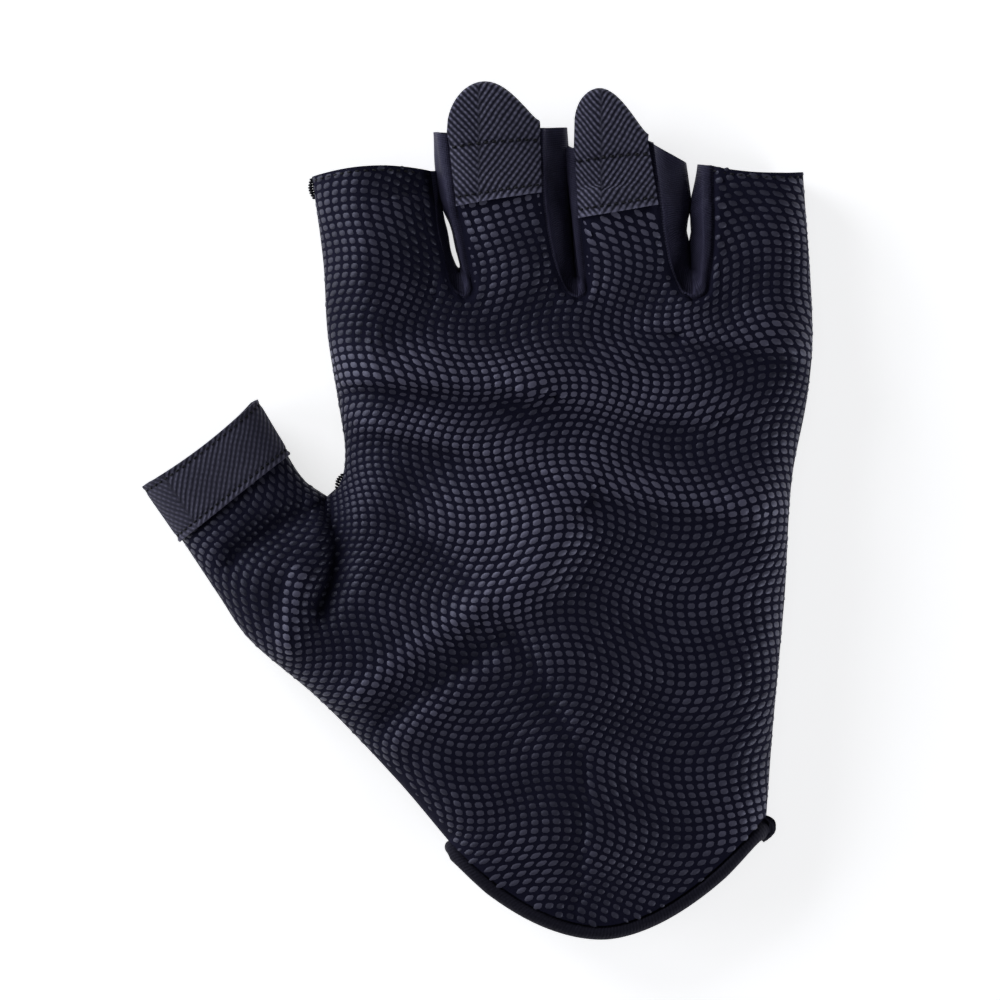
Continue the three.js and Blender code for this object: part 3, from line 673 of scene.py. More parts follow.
def on_cloth(piece, tree, x, y):
    """The place in space, in millimetres, of a place on the flat cloth, or None past its edge"""
    hit, _, number, _ = tree.ray_cast(Vector((x * MM, y * MM, 1)), Vector((0, 0, -1)))
    if hit is None:
        return None
    mesh = piece.data
    face = mesh.polygons[number]
    uvs = [mesh.uv_layers["cloth"].data[k].uv.to_3d() for k in face.loop_indices]
    weights = poly_3d_calc(uvs, Vector((hit.x, hit.y, 0)))
    place = sum((mesh.vertices[v].co * w for v, w in zip(face.vertices, weights)), Vector())
    return np.array(place) / MM


palm_tree = flat_tree(palm_cloth)
print("the middle of the flat cloth lies at", on_cloth(palm_cloth, palm_tree, 0, 0).round(1))


# %% Where the print is whole, cut or covered
# The two pull tabs. Each one's finger, the heights of its tape's lower corners, the x at which they
# start and how wide the tape is, and between which x it covers the print. Then its loop: where along
# the hem it peaks, how far it reaches past the hem and how full its two sides are
TABS = [
    {"finger": 1, "low": (64, 66.6), "start": -5, "wide": 18, "over": (-8, 18),
     "peak": 0.36, "reach": 10.1, "full": (0.4, 1.45)},
    {"finger": 2, "low": (61.3, 64), "start": 21, "wide": 17, "over": (20, 42),
     "peak": 0.26, "reach": 12, "full": (0.2, 1.45)},
]

# The thumb tape covers the print above this edge and left of this x. The print stops a little short
# of every tape
THUMB_TAPE_EDGE = [(-67.9, -1.0), (-44.9, 14.0)]
THUMB_TAPE_RIGHT = -36
TAPE_MARGIN = 0.3

# Dots shrink towards the side seam where it is lower than the first y, and towards the slits where
# they are higher than the second
HEEL_Y = -56
SLITS_Y = 42

slit_edges = []
for number, slit in enumerate(SLITS):
    slit_edges.append(slit_edge(1, slit, -1, fine, hems(1, number)[1]))
    slit_edges.append(slit_edge(1, slit, 1, fine, hems(1, number + 1)[0]))


def smoothstep(low, high, value):
    t = np.clip((value - low) / (high - low), 0, 1)
    return t * t * (3 - 2 * t)


def taped(x, y):
    """Whether a tape covers a place of the palm"""
    if x < THUMB_TAPE_RIGHT and beside(np.array([[x, y]]), THUMB_TAPE_EDGE)[0] > -TAPE_MARGIN:
        return True
    for tab in TABS:
        left, right = tab["over"]
        low = mix(*tab["low"], (x - tab["start"]) / tab["wide"])
        if left < x < right and y > low - TAPE_MARGIN:
            return True
    return False


def printed(place):
    """How fully a dot is printed at a place: none under the tapes, less along edges"""
    x, y = place[:2]
    if taped(x, y):
        return 0
    point = place[None, :2]
    heel = abs(beside(point, THUMB_OUTER_SIDE[:3])[0]) + max(0.0, y - HEEL_Y) * 0.2
    seam = min(abs(beside(point, line)[0]) for line in slit_edges) if y > SLITS_Y else 9
    return smoothstep(0.6, 2.2, heel) * smoothstep(0.2, 1.5, seam)


for spot in ((3.0, 0.0), (6.0, 70.0)):
    print("a dot at", spot, "is printed to", printed(np.array(spot)))


# %% Placing the dots
# A dot's height, how much of its cell it fills, and how small a dot is left out
DOT_HEIGHT = 0.15
DOT_SHARE = 0.72
SMALLEST_SHARE = 0.25

# How far each way the cloth is felt for, and how much of a dot is kept: a seam cuts the last ones
WAYS = ((1, 0), (-1, 0), (0, 1), (0, -1))
REACHES = ((0.45, 1.0), (0.15, 0.6))


def run_of_cloth(x, y):
    """Which way one flat millimetre across and one up run in space, and how much of a dot fits"""
    for reach, kept in REACHES:
        sides = [on_cloth(palm_cloth, palm_tree, x + dx * reach, y + dy * reach) for dx, dy in WAYS]
        if all(place is not None for place in sides):
            right, left, above, below = sides
            return (right - left) / (2 * reach), (above - below) / (2 * reach), kept
    return None


dots = []
along_row = np.gradient(np.stack([flat_x, flat_y], -1), axis=1)
along_column = np.gradient(np.stack([flat_x, flat_y], -1), axis=0)
for row, column in np.ndindex(flat_x.shape):
    x, y = flat_x[row, column], flat_y[row, column]
    if abs(x) > palm_span[0] or abs(y) > palm_span[1]:
        continue
    centre = on_cloth(palm_cloth, palm_tree, x, y)
    run = None if centre is None else run_of_cloth(x, y)
    if run is None:
        continue
    across, up, kept = run
    share = printed(centre) * DOT_SHARE * kept
    if share < SMALLEST_SHARE:
        continue
    first = (across * along_row[row, column, 0] + up * along_row[row, column, 1]) * share
    second = (across * along_column[row, column, 0] + up * along_column[row, column, 1]) * share
    normal = np.cross(first, second)
    dots.append([centre, first, second, normal / np.linalg.norm(normal) * DOT_HEIGHT])
dots = np.array(dots)
print(len(dots), "dots")

# %% How pale each dot is painted: painted light, painted shade and wear
# Patches of painted light and painted shade on the print, beyond what the folds give: x, y, reach, change
PAINTED_LIGHT_AND_SHADE_PATCHES = [(-9.9, 57.5, 7, -0.5), (10.9, 57.0, 7, -0.5), (-16.8, 43.7, 6, 0.4), (4.0, 43.7, 6, 0.45),
        (28.0, 40.0, 8, 0.45), (36.0, 30.0, 7, 0.4), (25.0, 16.0, 9, 0.35), (52.5, 36.7, 5, -0.35),
        (66.4, 33.6, 6, -0.5), (-23.7, 36.7, 6, -0.3), (-23.7, 22.9, 6, -0.5), (-3.0, -18.7, 5, -0.4),
        (-51.0, -18.7, 5, -0.6), (-46.0, -4.0, 9, -0.25), (12.0, -76.0, 9, 0.4), (52.0, -67.0, 8, 0.35),
        (56.0, -14.0, 10, 0.3)]

# Painted light on the folds' crests and painted shade in their creases, partly standing for wear; the two
# broad swells at the end of the folds add none
painted_light_shade_and_wear = smoothstep(-1.8, 3.0, fold_rise(dots[:, 0, :2], FOLDS[:-2]))
for x, y, reach, change in PAINTED_LIGHT_AND_SHADE_PATCHES:
    painted_light_shade_and_wear += change * np.exp(-((dots[:, 0, :2] - (x, y)) ** 2).sum(1) / reach**2)
painted_light_shade_and_wear = np.clip(painted_light_shade_and_wear, 0, 1)
print("dots are rubbed", painted_light_shade_and_wear.mean().round(2), "on average")


# %% All dots as one mesh
def copies(name, shape, faces, frames):
    """One mesh of many copies of a small shape; a frame is a place and three axes"""
    places = frames[:, None, 0] + np.einsum("vk,nkc->nvc", shape, frames[:, 1:])
    mesh = bpy.data.meshes.new(name)
    count = len(shape)
    every = [tuple(v + k * count for v in face) for k in range(len(frames)) for face in faces]
    mesh.from_pydata((places.reshape(-1, 3) * MM).tolist(), [], every)
    mesh.shade_smooth()
    piece = bpy.data.objects.new(name, mesh)
    bpy.context.scene.collection.objects.link(piece)
    print(name, len(frames), "copies,", len(every), "faces")
    return piece


# A dot is sunk by a quarter of its height, so that none floats where the cloth curves
sunk = dot_places - np.array([0, 0, 0.25])
grip_dots = copies("grip_dots", sunk, dot_faces, dots)
# Each dot carries its painted light and painted shade, partly wear, as an attribute
layer = grip_dots.data.attributes.new("painted_light_shade_and_wear", "FLOAT", "POINT")
layer.data.foreach_set("value", np.repeat(painted_light_shade_and_wear, len(sunk)).astype(np.float32))


# %% [markdown]
# ## Wall of the palm and the back
#
# The dots needed the bare skin. Now the skins get their thickness, inwards, and a soft rim.

# %% Thickening both panels
thicken(palm_cloth, PALM_CLOTH)
thicken(back_cloth, BACK_CLOTH)

# %% [markdown]
# ## Side cloth in the slits
#
# Each slit is lined with one strip of stretch cloth. It starts under the palm's rolled edge,
# bends over the finger's side and goes down to the back cloth; at the web it turns up the next
# finger. Its flat map runs along the strip and across it.


# %% The side cloth
def lengths(grid, axis):
    """Distance run along each line of a grid, on average, as the strip's flat coordinate"""
    step = np.linalg.norm(np.diff(grid, axis=axis), axis=2)
    return np.concatenate([[0], np.cumsum(step.mean(1 - axis))])


def flat_of(grid):
    """A rectangular flat map of a grid, from its own size"""
    x, y = np.meshgrid(lengths(grid, 1), lengths(grid, 0))
    return np.stack([x, y], -1)


# How deep the seam tucks under the palm, how high it is piped, and how full the strip is on a
# slit's left side, where it sags, and on its right side, where it is round
TUCK = 1.0
PIPING = {-1: (0.55, 0.7), 1: (0.95, 1.2)}
FULLNESS = {-1: -1.7, 1: 0.35}


def side_cloth(number):
    """The strip in one slit and its flat size"""
    slit = SLITS[number]
    shares = start_steps(34)
    rows = []
    for side in (-1, 1):
        finger, end = (number, 1) if side < 0 else (number + 1, 0)
        edge = slit_side(slit, side, shares, hems(-1, finger)[end])
        row = []
        for face, steps in ((1, 1.16 - 1.16 * start_steps(22, 0.75)), (-1, start_steps(12, 2.0)[1:])):
            seam = slit_edge(face, slit, side, shares, hems(face, finger)[end])
            plan = between(edge, seam, np.maximum(steps, 0.0004))
            places, normals = surface(plan, face)
            depth = TUCK * smoothstep(0.9, 1.1, steps) + 0.22 * smoothstep(0, 0.35, steps) - 0.04
            depth = np.tile(depth, (len(plan), 1))
            if face > 0:
                width = np.linalg.norm(seam - edge, axis=1)[:, None]
                from_seam = (1 - steps) * width
                high, wide = PIPING[side]
                depth -= high * np.exp(-(((from_seam - 0.15 - wide) / wide) ** 2))
                full = FULLNESS[side] * np.sin(np.pi * np.clip(steps, 0, 1))
                depth -= full * np.clip(width / 4 - 0.3, 0, 1)
            row.append(places - normals * depth[..., None])
        rows.append(np.concatenate(row, axis=1))
    grid = np.concatenate([rows[0][::-1], rows[1][1:]])[::-1]
    piece = new_cloth("side_cloth_" + slit["name"], [grid], [flat_of(grid)])
    thicken(piece, SIDE_CLOTH)
    return piece, flat_of(grid)[-1, -1]


sides = [side_cloth(number) for number in range(3)]


# %% [markdown]
# ## Tape
#
# Woven tape is sewn flat over the palm. On the thumb it is a plain band. On the middle and ring
# fingers it runs past the hem, turns back in a free loop, the tab that pulls the glove off,
# and ends inside the finger.

# %% The thumb's tape
# How far a tape lies above the palm, and how far its rims are softened
TAPE_LIFT = 0.22
TAPE_RIM = 0.16

# The thumb tape's width, its rows and columns of cloth, and the rows where it is sewn down
THUMB_TAPE_WIDTH = 14.7
THUMB_TAPE_ROWS = 26
THUMB_TAPE_COLUMNS = 44
THUMB_TAPE_SEWN = (2.6, 23.6)


def ridge(rows, middle, spread, height):
    """A small ridge across a tape, round one of its rows"""
    return height * np.exp(-(((rows - middle) / spread) ** 2))


def thumb_tape():
    """The thumb's tape, its flat size and its grid"""
    inner_end, outer_end = np.array(THUMB_INNER_SIDE[-1]), np.array(THUMB_OUTER_SIDE[-1])
    slope = (inner_end[0] - outer_end[0]) / np.linalg.norm(inner_end - outer_end)
    up = start_steps(THUMB_TAPE_ROWS, 1)
    drop = THUMB_TAPE_WIDTH * slope * (1 - up)
    inner_y, outer_y = inner_end[1] - drop, outer_end[1] - drop
    inner = np.column_stack([smooth_x(THUMB_INNER_SIDE, inner_y), inner_y])
    outer = np.column_stack([smooth_x(THUMB_OUTER_SIDE, outer_y), outer_y])
    across = mix(0.012, 0.988, end_steps(THUMB_TAPE_COLUMNS, 0.14))
    plan = between(outer, inner, across)
    plan += THUMB_BOW * (up**2)[:, None, None] * (4 * across * (1 - across))[:, None]
    places, normals = surface(plan, 1)
    rows = up * THUMB_TAPE_ROWS
    sewn = sum(ridge(rows, row, 0.8, 0.2) for row in THUMB_TAPE_SEWN)
    bead = ridge(rows, 0.8, 0.9, 0.2)
    grid = places + normals * (TAPE_LIFT + TAPE_CLOTH + bead - sewn)[:, None, None]
    selvage = np.exp(-((up * THUMB_TAPE_WIDTH / 0.6) ** 2))[:, None] * np.ones(THUMB_TAPE_COLUMNS + 1)
    piece = new_cloth("thumb_tape", [grid], [flat_of(grid)], selvage)
    thicken(piece, TAPE_CLOTH, rim=TAPE_RIM)
    return piece, flat_of(grid)[-1, -1], grid


thumb_band, thumb_band_flat, thumb_grid = thumb_tape()

# %% The pull tabs
# Steps in a tab's length: the tape sewn to the palm, the free loop out to its tip, and the turn
SEWN_STEPS, FREE_STEPS, TURN_STEPS = 22, 12, 10

# The two lines of stitches across a tab: the row each lies at, how deep and how wide it sinks into
# the tape, and the pitch and thickness of its stitches
TAB_SEWN = [{"row": 17.6, "deep": 0.32, "wide": 1.0, "pitch": 1.6, "thread": 0.62},
            {"row": 2.4, "deep": 0.2, "wide": 0.9, "pitch": 1.5, "thread": 0.42}]

# How far the loop reaches past the hem at the tape's edges, how much it droops, how far the tape
# ends inside the finger, and how far it keeps from the slits
SHORTEST_REACH = 1.7
DROOP = 0.012
INSIDE_REACH = 4.0
SLIT_GAP = 0.4


def tab_reach(tab, across):
    """How far past the hem the loop goes, across the tape"""
    left = across < tab["peak"]
    away = np.where(left, (tab["peak"] - across) / tab["peak"], (across - tab["peak"]) / (1 - tab["peak"]))
    power = np.where(left, *tab["full"])
    return mix(SHORTEST_REACH, tab["reach"], (1 - away**2) ** power)


def pull_tab(tab):
    """One tab, its flat size and its grid, whose rows run from the palm round the loop and back"""
    number = tab["finger"]
    finger = FINGERS[number]
    above = TAPE_LIFT + TAPE_CLOTH / 2
    below = PALM_CLOTH + 0.35 + TAPE_CLOTH / 2
    radius = (above + below) / 2
    across = end_steps(36, 0.1)

    def line(left_y, right_y):
        left = np.array([float(smooth_x(SLITS[number - 1]["right"], left_y)) + SLIT_GAP, left_y])
        right = np.array([float(smooth_x(SLITS[number]["left"], right_y)) - SLIT_GAP, right_y])
        return mix(left, right, across[:, None])

    hem, low = line(*finger["hem"]), line(*tab["low"])
    hem[:, 1] += finger["bow"] * 4 * across * (1 - across)
    hem_place, hem_normal = surface(hem, 1)
    reach = tab_reach(tab, across) - radius - TAPE_CLOTH / 2

    def beyond(past, offset):
        place = hem_place + hem_normal * offset
        place[:, 1] += past
        place[:, 2] -= DROOP * np.maximum(past, 0) ** 2
        return place

    rows = []
    for step, t in enumerate(np.linspace(0, 1, SEWN_STEPS + 1)[:-1]):
        place, normal = surface(mix(low, hem, t), 1)
        sewn = sum(ridge(step, seam["row"], seam["wide"], seam["deep"]) for seam in TAB_SEWN)
        bead = ridge(step, 0.7, 0.9, 0.16)
        rows.append(place + normal * (above - sewn + bead))
    rows += [beyond(reach * t, above) for t in np.linspace(0, 1, FREE_STEPS + 1)[:-1]]
    for turn in np.linspace(0, np.pi, TURN_STEPS + 1):
        place = beyond(reach, (above - below) / 2 + radius * np.cos(turn))
        place[:, 1] += radius * np.sin(turn)
        rows.append(place)
    rows += [beyond(reach * t, -below) for t in np.linspace(1, 0, FREE_STEPS + 1)[1:]]
    rear, normal = surface(hem - np.array([0, INSIDE_REACH]), 1)
    rows.append(rear - normal * below)
    grid = np.array(rows)
    run = np.linalg.norm(np.diff(grid, axis=0), axis=2)
    run = np.concatenate([low[None, :, 1] - low[:, 1].min(), run]).cumsum(axis=0)
    flat = np.stack([grid[..., 0] - grid[0, 0, 0], run], -1)
    selvage = np.exp(-(((run - run[:1]) / 0.55) ** 2))
    piece = new_cloth("tab_" + finger["name"], [grid], [flat], selvage)
    thicken(piece, TAPE_CLOTH, offset=0, rim=TAPE_RIM)
    return piece, flat_of(grid)[-1, -1], grid


tabs = [pull_tab(tab) for tab in TABS]


# %% [markdown]
# ## Binding round the wrist
#
# The wrist edge is bound: a strip is folded over it and sewn through. The strip is modelled as
# an open roll that follows the palm's edge from one side seam to the other and comes back
# along the edge of the back cloth.

# %% The binding
# The strip's thickness, and its cut width and length, rounded up from what is measured below
BINDING_CLOTH = 0.6
BINDING_CUT = (10, 160)

# The rolled strip in section: how far out from the palm's edge, and how high above the surface
BINDING_ROLL = [(-1.6, -1.9), (-0.7, -1.75), (-0.05, -1.3), (0.25, -0.55), (0.75, 0.12), (1.5, 0.35),
                (2.25, 0.12), (2.8, -0.5), (2.95, -1.2), (2.6, -1.8), (1.9, -2.1), (1.0, -2.15)]


def rounded(points, per_span):
    """A smooth line through points, with even steps between each two"""
    points = np.array(points, float)
    before = np.concatenate([points[:1], points, points[-1:]])
    spans = []
    for k in range(len(points) - 1):
        a, b, c, d = before[k:k + 4]
        t = np.linspace(0, 1, per_span, endpoint=False)[:, None]
        spans.append(0.5 * (2 * b + (c - a) * t + (2 * a - 5 * b + 4 * c - d) * t**2
                            + (3 * b - a - 3 * c + d) * t**3))
    return np.concatenate(spans + [points[-1:]])


def binding():
    """Sections of the roll along the palm's edge, and back along that of the back cloth"""
    rings = []
    for face, count in ((1, 150), (-1, 90)):
        across = start_steps(count, 1)
        edge = wrist_edge(face, across)
        run = np.gradient(edge, axis=0)
        out = np.column_stack([run[:, 1], -run[:, 0]]) / np.linalg.norm(run, axis=1)[:, None]
        corner = smoothstep(0, 0.05, np.minimum(across, 1 - across))[:, None]
        out = mix(np.array([0.0, -1.0]), out, corner)
        out /= np.linalg.norm(out, axis=1)[:, None]
        swell = 1 + 0.5 * np.exp(-(((1 - across) / 0.035) ** 2)) + 0.2 * np.exp(-((across / 0.03) ** 2))
        ring = []
        for away, lift in rounded(BINDING_ROLL, 3):
            plan = edge + out * (away * swell)[:, None]
            plan[:, 0] += 1.5 * np.exp(-(((1 - across) / 0.02) ** 2))
            inside = np.clip(plan[:, 0], WRIST_LEFT[0] + 0.03, WRIST_RIGHT[0] - 0.03)
            past = plan[:, 0] - inside
            plan[:, 0] = inside
            place, normal = surface(plan, face)
            place += normal * (lift * swell)[:, None]
            place[:, 0] += past
            ring.append(place)
        rings.append(np.array(ring).transpose(1, 0, 2))
    return np.concatenate([rings[0], rings[1][::-1][1:-1], rings[0][:1]])


# The roll is flattened where it would go through the table
binding_grid = binding()
binding_grid[..., 2] = np.maximum(binding_grid[..., 2], 0.02)
wrist_binding = new_cloth("wrist_binding_strip", [binding_grid], [flat_of(binding_grid)])
thicken(wrist_binding, BINDING_CLOTH, rim=0.1)
print("binding", [round(float(v), 1) for v in flat_of(binding_grid)[-1, -1]], "mm flat")


# %% [markdown]
# ## Stitches
#
# A stitch is a short thread that dives into the cloth at both ends. One is modelled from a
# cylinder whose ends are drawn in and down, and copied along each seam. Where a side seam ends,
# the same stitch is wound side by side round the edge, so that the seam can't open.

# %% One stitch
bpy.ops.object.select_all(action="DESELECT")
bpy.ops.mesh.primitive_cylinder_add(vertices=7, radius=0.5, depth=0.56, end_fill_type="NGON",
                                    rotation=(0, math.pi / 2, 0))
stitch = bpy.context.object
bpy.ops.object.transform_apply(location=False, rotation=True, scale=False)
for end in (-1, 1):
    for face in stitch.data.polygons:
        face.select = face.normal.x * end > 0.9
    for edge in stitch.data.edges:
        edge.select = False
    bpy.ops.object.mode_set(mode="EDIT")
    bpy.ops.mesh.select_mode(type="FACE")
    bpy.ops.mesh.extrude_region_move(TRANSFORM_OT_translate={"value": (0.22 * end, 0, -0.55)})
    bpy.ops.transform.resize(value=(1, 0.6, 0.6))
    bpy.ops.object.mode_set(mode="OBJECT")
stitch_places = np.array([v.co for v in stitch.data.vertices])
stitch_faces = [tuple(face.vertices) for face in stitch.data.polygons]
bpy.data.objects.remove(stitch)
print("one stitch has", len(stitch_faces), "faces")


# %% Following a seam
THREAD = 0.42

# The share of its pitch that a stitch fills
STITCH_SHARE = 0.86


def stitched(places, normals, pitch, thread=THREAD):
    """Frames for stitches along a line of places"""
    run = np.concatenate([[0], np.cumsum(np.linalg.norm(np.diff(places, axis=0), axis=1))])
    count = int(run[-1] / pitch)
    middle = (np.arange(count) + 0.5) * run[-1] / count

    def read(values, at):
        return np.column_stack([np.interp(at, run, values[:, k]) for k in range(3)])

    place = read(places, middle)
    way = read(places, middle + 0.3) - read(places, middle - 0.3)
    way /= np.linalg.norm(way, axis=1)[:, None]
    up = read(normals, middle)
    side = np.cross(up, way)
    side /= np.linalg.norm(side, axis=1)[:, None]
    up = np.cross(way, side)
    return np.stack([place, way * pitch * STITCH_SHARE, side * thread, up * thread], axis=1)


def up_from(grid):
    """Ways out of a grid of places, from its neighbours"""
    across, up = np.gradient(grid, axis=1), np.gradient(grid, axis=0)
    out = np.cross(across, up)
    return out / np.linalg.norm(out, axis=2)[..., None]


def on_grid(grid, row, lift, first=1, last=-1):
    """A line of places and ways out along one row of a grid; the row may lie between two"""
    low = int(row)
    out = up_from(grid)[low][first:last]
    place = mix(grid[low], grid[low + 1], row - low)[first:last]
    return place + out * lift, out


# %% Rows of stitches on the tapes and the plain hems
# How high a thread's middle lies over a tape and over the palm, and how far in from the hem it is
OVER_TAPE, OVER_PALM = 0.06, 0.03
HEM_INSET = 0.95

thumb_rows = [stitched(*on_grid(thumb_grid, row, OVER_TAPE), 1.5) for row in THUMB_TAPE_SEWN]
tab_rows = [stitched(*on_grid(grid, seam["row"], TAPE_CLOTH / 2 + OVER_TAPE), seam["pitch"], seam["thread"])
            for _, _, grid in tabs for seam in TAB_SEWN]
hem_rows = []
for number in (0, 3):
    inset = finger_plan(1, number, 30, 60)[-1] - np.array([0, HEM_INSET])
    places, normals = surface(inset[3:-3], 1)
    hem_rows.append(stitched(places + normals * OVER_PALM, normals, 1.7))
print("stitches in each row:", [len(row) for row in thumb_rows + tab_rows + hem_rows])


# %% Wound ends of two side seams
# The pitch of the wound thread, and how far round the edge each stitch reaches
WOUND_PITCH = 0.55
WOUND_REACH = 3.0


def bar_tack(curve, low, high, outwards):
    """Stitches laid side by side round the edge, in a small lump between two heights"""
    heights = np.arange(low, high, WOUND_PITCH)
    x = smooth_x(curve, heights)
    slope = (smooth_x(curve, heights + 0.1) - smooth_x(curve, heights - 0.1)) / 0.2
    flat_out = np.column_stack([np.ones_like(slope), -slope, np.zeros_like(slope)]) * outwards
    flat_out /= np.linalg.norm(flat_out, axis=1)[:, None]
    edge = np.column_stack([x, heights, fill_height(np.column_stack([x, heights])) / 2])
    lump = np.sin(np.pi * np.linspace(0.08, 0.92, len(heights)))[:, None]
    place = edge + flat_out * (0.7 * lump - 0.1)
    way = np.tile([0.0, 0.0, WOUND_REACH], (len(heights), 1))
    return np.stack([place, way, np.cross(flat_out, way) * 0.2, flat_out * 1.1], axis=1)


# At the index finger's hem and beside the thumb's crotch
tacks = [bar_tack(INDEX_SIDE, 65.6, 69.8, -1), bar_tack(INDEX_SIDE, 4.6, 7.8, -1)]
every_stitch = np.concatenate(thumb_rows + tab_rows + hem_rows + tacks)
stitches = copies("stitches", stitch_places, stitch_faces, every_stitch)

# %% [markdown]
# ## What each piece stands for
#
# Each fine piece takes the place of a imported node and rides on the one body. The size each
# cloth was cut to is printed with its area.

# %% Riding and replacing
def settle(piece, slot, *nodes):
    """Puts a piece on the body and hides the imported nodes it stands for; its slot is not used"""
    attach(piece, "root")
    if nodes:
        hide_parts(*nodes)


settle(palm_cloth, "palm_cloth", "palm_panel")
settle(back_cloth, "back_knit", "back_panel")
settle(grip_dots, "grip_dots")
settle(thumb_band, "twill_tape", "thumb_band")
settle(wrist_binding, "binding", "wrist_binding")
settle(stitches, "thread")
for slit, (piece, flat) in zip(SLITS, sides):
    settle(piece, "side_stretch", "fourchette_" + slit["name"])
for tab, (piece, flat, _) in zip(TABS, tabs):
    settle(piece, "twill_tape", "pull_tab_" + FINGERS[tab["finger"]]["name"])
print("all pieces ride on root")


# %% Printing the cloth's cut sizes
def skin_area(piece):
    """Half of a thin cloth's whole surface, in square metres"""
    return sum(face.area for face in piece.data.polygons) / 2


def declare(piece, width, length, held, **more):
    """Prints a sheet's cut size in millimetres and its area, which can't be more than that size gives"""
    size = (width * MM, length * MM)
    area = min(skin_area(piece), size[0] * size[1])
    print(piece.name, "cut", [round(v) for v in (width, length)], "mm,", round(area * 1e4, 1), "cm2")


declare(back_cloth, *back_span, "laid")
declare(palm_cloth, *palm_span, "laid", rests_on=[back_cloth], with_pieces=[grip_dots, stitches])
for piece, flat in sides:
    declare(piece, flat[0], flat[1], "stretched")
declare(thumb_band, thumb_band_flat[0], thumb_band_flat[1], "laid", rests_on=[palm_cloth])
for piece, flat, _ in tabs:
    declare(piece, flat[0], flat[1], "folded")
declare(wrist_binding, *BINDING_CUT, "folded")


# %% [markdown]
# ## Finishes
#
# Cloth is a surface with fine relief. Each finish is a Principled shader whose colour, roughness
# and relief are reckoned from a place: in millimetres on the object, or along the unrolled
# cloth. `Field` lets those sums be written as Python.


# %% Shader sums in Python
class Field:
    """A number that varies over a surface"""

    def __init__(self, finish, socket):
        self.finish, self.socket = finish, socket

    def reckon(self, operation, *others):
        inputs = dict(enumerate((self, *others)))
        return self.finish.node("ShaderNodeMath", {"operation": operation}, inputs)

    def __add__(self, other):
        return self.reckon("ADD", other)

    __radd__ = __add__

    def __mul__(self, other):
        return self.reckon("MULTIPLY", other)

    __rmul__ = __mul__

    def __sub__(self, other):
        return self.reckon("SUBTRACT", other)

    def __rsub__(self, other):
        return (self * -1) + other

    def wave(self, length):
        """From 0 to 1 and back over each length"""
        return (self * (2 * math.pi / length)).reckon("SINE") * 0.5 + 0.5

    def step(self, low, high):
        """A soft step from 0 below low to 1 above high"""
        return self.finish.node("ShaderNodeMapRange", {"interpolation_type": "SMOOTHSTEP"},
                                {"Value": self, "From Min": low, "From Max": high})


class Finish:
    """One material: a Principled shader and the nodes that feed it"""

    def __init__(self, name, roughness, **fixed):
        self.material = bpy.data.materials.new(name)
        self.material.use_nodes = True
        self.tree = self.material.node_tree
        self.shader = self.tree.nodes["Principled BSDF"]
        self.feed(self.shader.inputs["Roughness"], roughness)
        for socket, value in fixed.items():
            self.shader.inputs[socket.replace("_", " ")].default_value = value

    def feed(self, socket, value):
        if isinstance(value, Field):
            self.tree.links.new(value.socket, socket)
        else:
            socket.default_value = value

    def node(self, kind, settings=None, inputs=None, output=0):
        node = self.tree.nodes.new(kind)
        for setting, value in (settings or {}).items():
            setattr(node, setting, value)
        for socket, value in (inputs or {}).items():
            self.feed(node.inputs[socket], value)
        return Field(self, node.outputs[output])

    def place(self):
        """The place on the object, in millimetres"""
        spot = self.node("ShaderNodeTexCoord", output="Object")
        return self.node("ShaderNodeVectorMath", {"operation": "SCALE"}, {0: spot, "Scale": 1 / MM})

    def flat(self):
        """The place on the unrolled cloth, in millimetres, as two fields"""
        spot = self.node("ShaderNodeUVMap", {"uv_map": "cloth"})
        spot = self.node("ShaderNodeVectorMath", {"operation": "SCALE"}, {0: spot, "Scale": 1 / MM})
        return [self.node("ShaderNodeSeparateXYZ", inputs={0: spot}, output=k) for k in (0, 1)]

    def noise(self, where, scale, detail=2):
        return self.node("ShaderNodeTexNoise", inputs={"Vector": where, "Scale": scale, "Detail": detail})

    def blend(self, dark, light, share):
        """A colour between two; the Mix node's colour sockets are numbers 6 and 7, its result is 2"""
        return self.node("ShaderNodeMix", {"data_type": "RGBA"}, {0: share, 6: (*dark, 1), 7: (*light, 1)}, 2)

    def colour(self, value):
        self.feed(self.shader.inputs["Base Color"], value)

    def rough(self, value):
        self.feed(self.shader.inputs["Roughness"], value)

    def relief(self, height, strength=1.0):
        """Relief from a height in millimetres"""
        bump = self.node("ShaderNodeBump", inputs={"Height": height, "Distance": MM, "Strength": strength})
        self.feed(self.shader.inputs["Normal"], bump)

    def on(self, *pieces):
        for piece in pieces:
            piece.data.materials.clear()
            piece.data.materials.append(self.material)
            print(self.material.name, "with", len(self.tree.nodes), "nodes on", piece.name)


# %% [markdown]
# The palm is suede-like microfibre, nearly black with a blue cast. Its nap is a very fine noise
# and the cloth is a little uneven at the scale of a thumbnail.

# %% Palm cloth
suede = Finish("palm_suede", 0.9, Specular_IOR_Level=0.12, Specular_Tint=(0.6, 0.65, 1, 1))
spot = suede.place()
nap = suede.noise(spot, 3.1, 3)
cloud = suede.noise(spot, 0.09, 3)
suede.colour(suede.blend((0.0054, 0.0051, 0.0132), (0.0158, 0.0150, 0.0325), nap * 0.65 + cloud * 0.35))
suede.rough(nap * 0.2 + 0.78)
suede.relief(nap * 0.12 + suede.noise(spot, 0.55, 3) * 0.22, 0.8)
suede.on(palm_cloth)
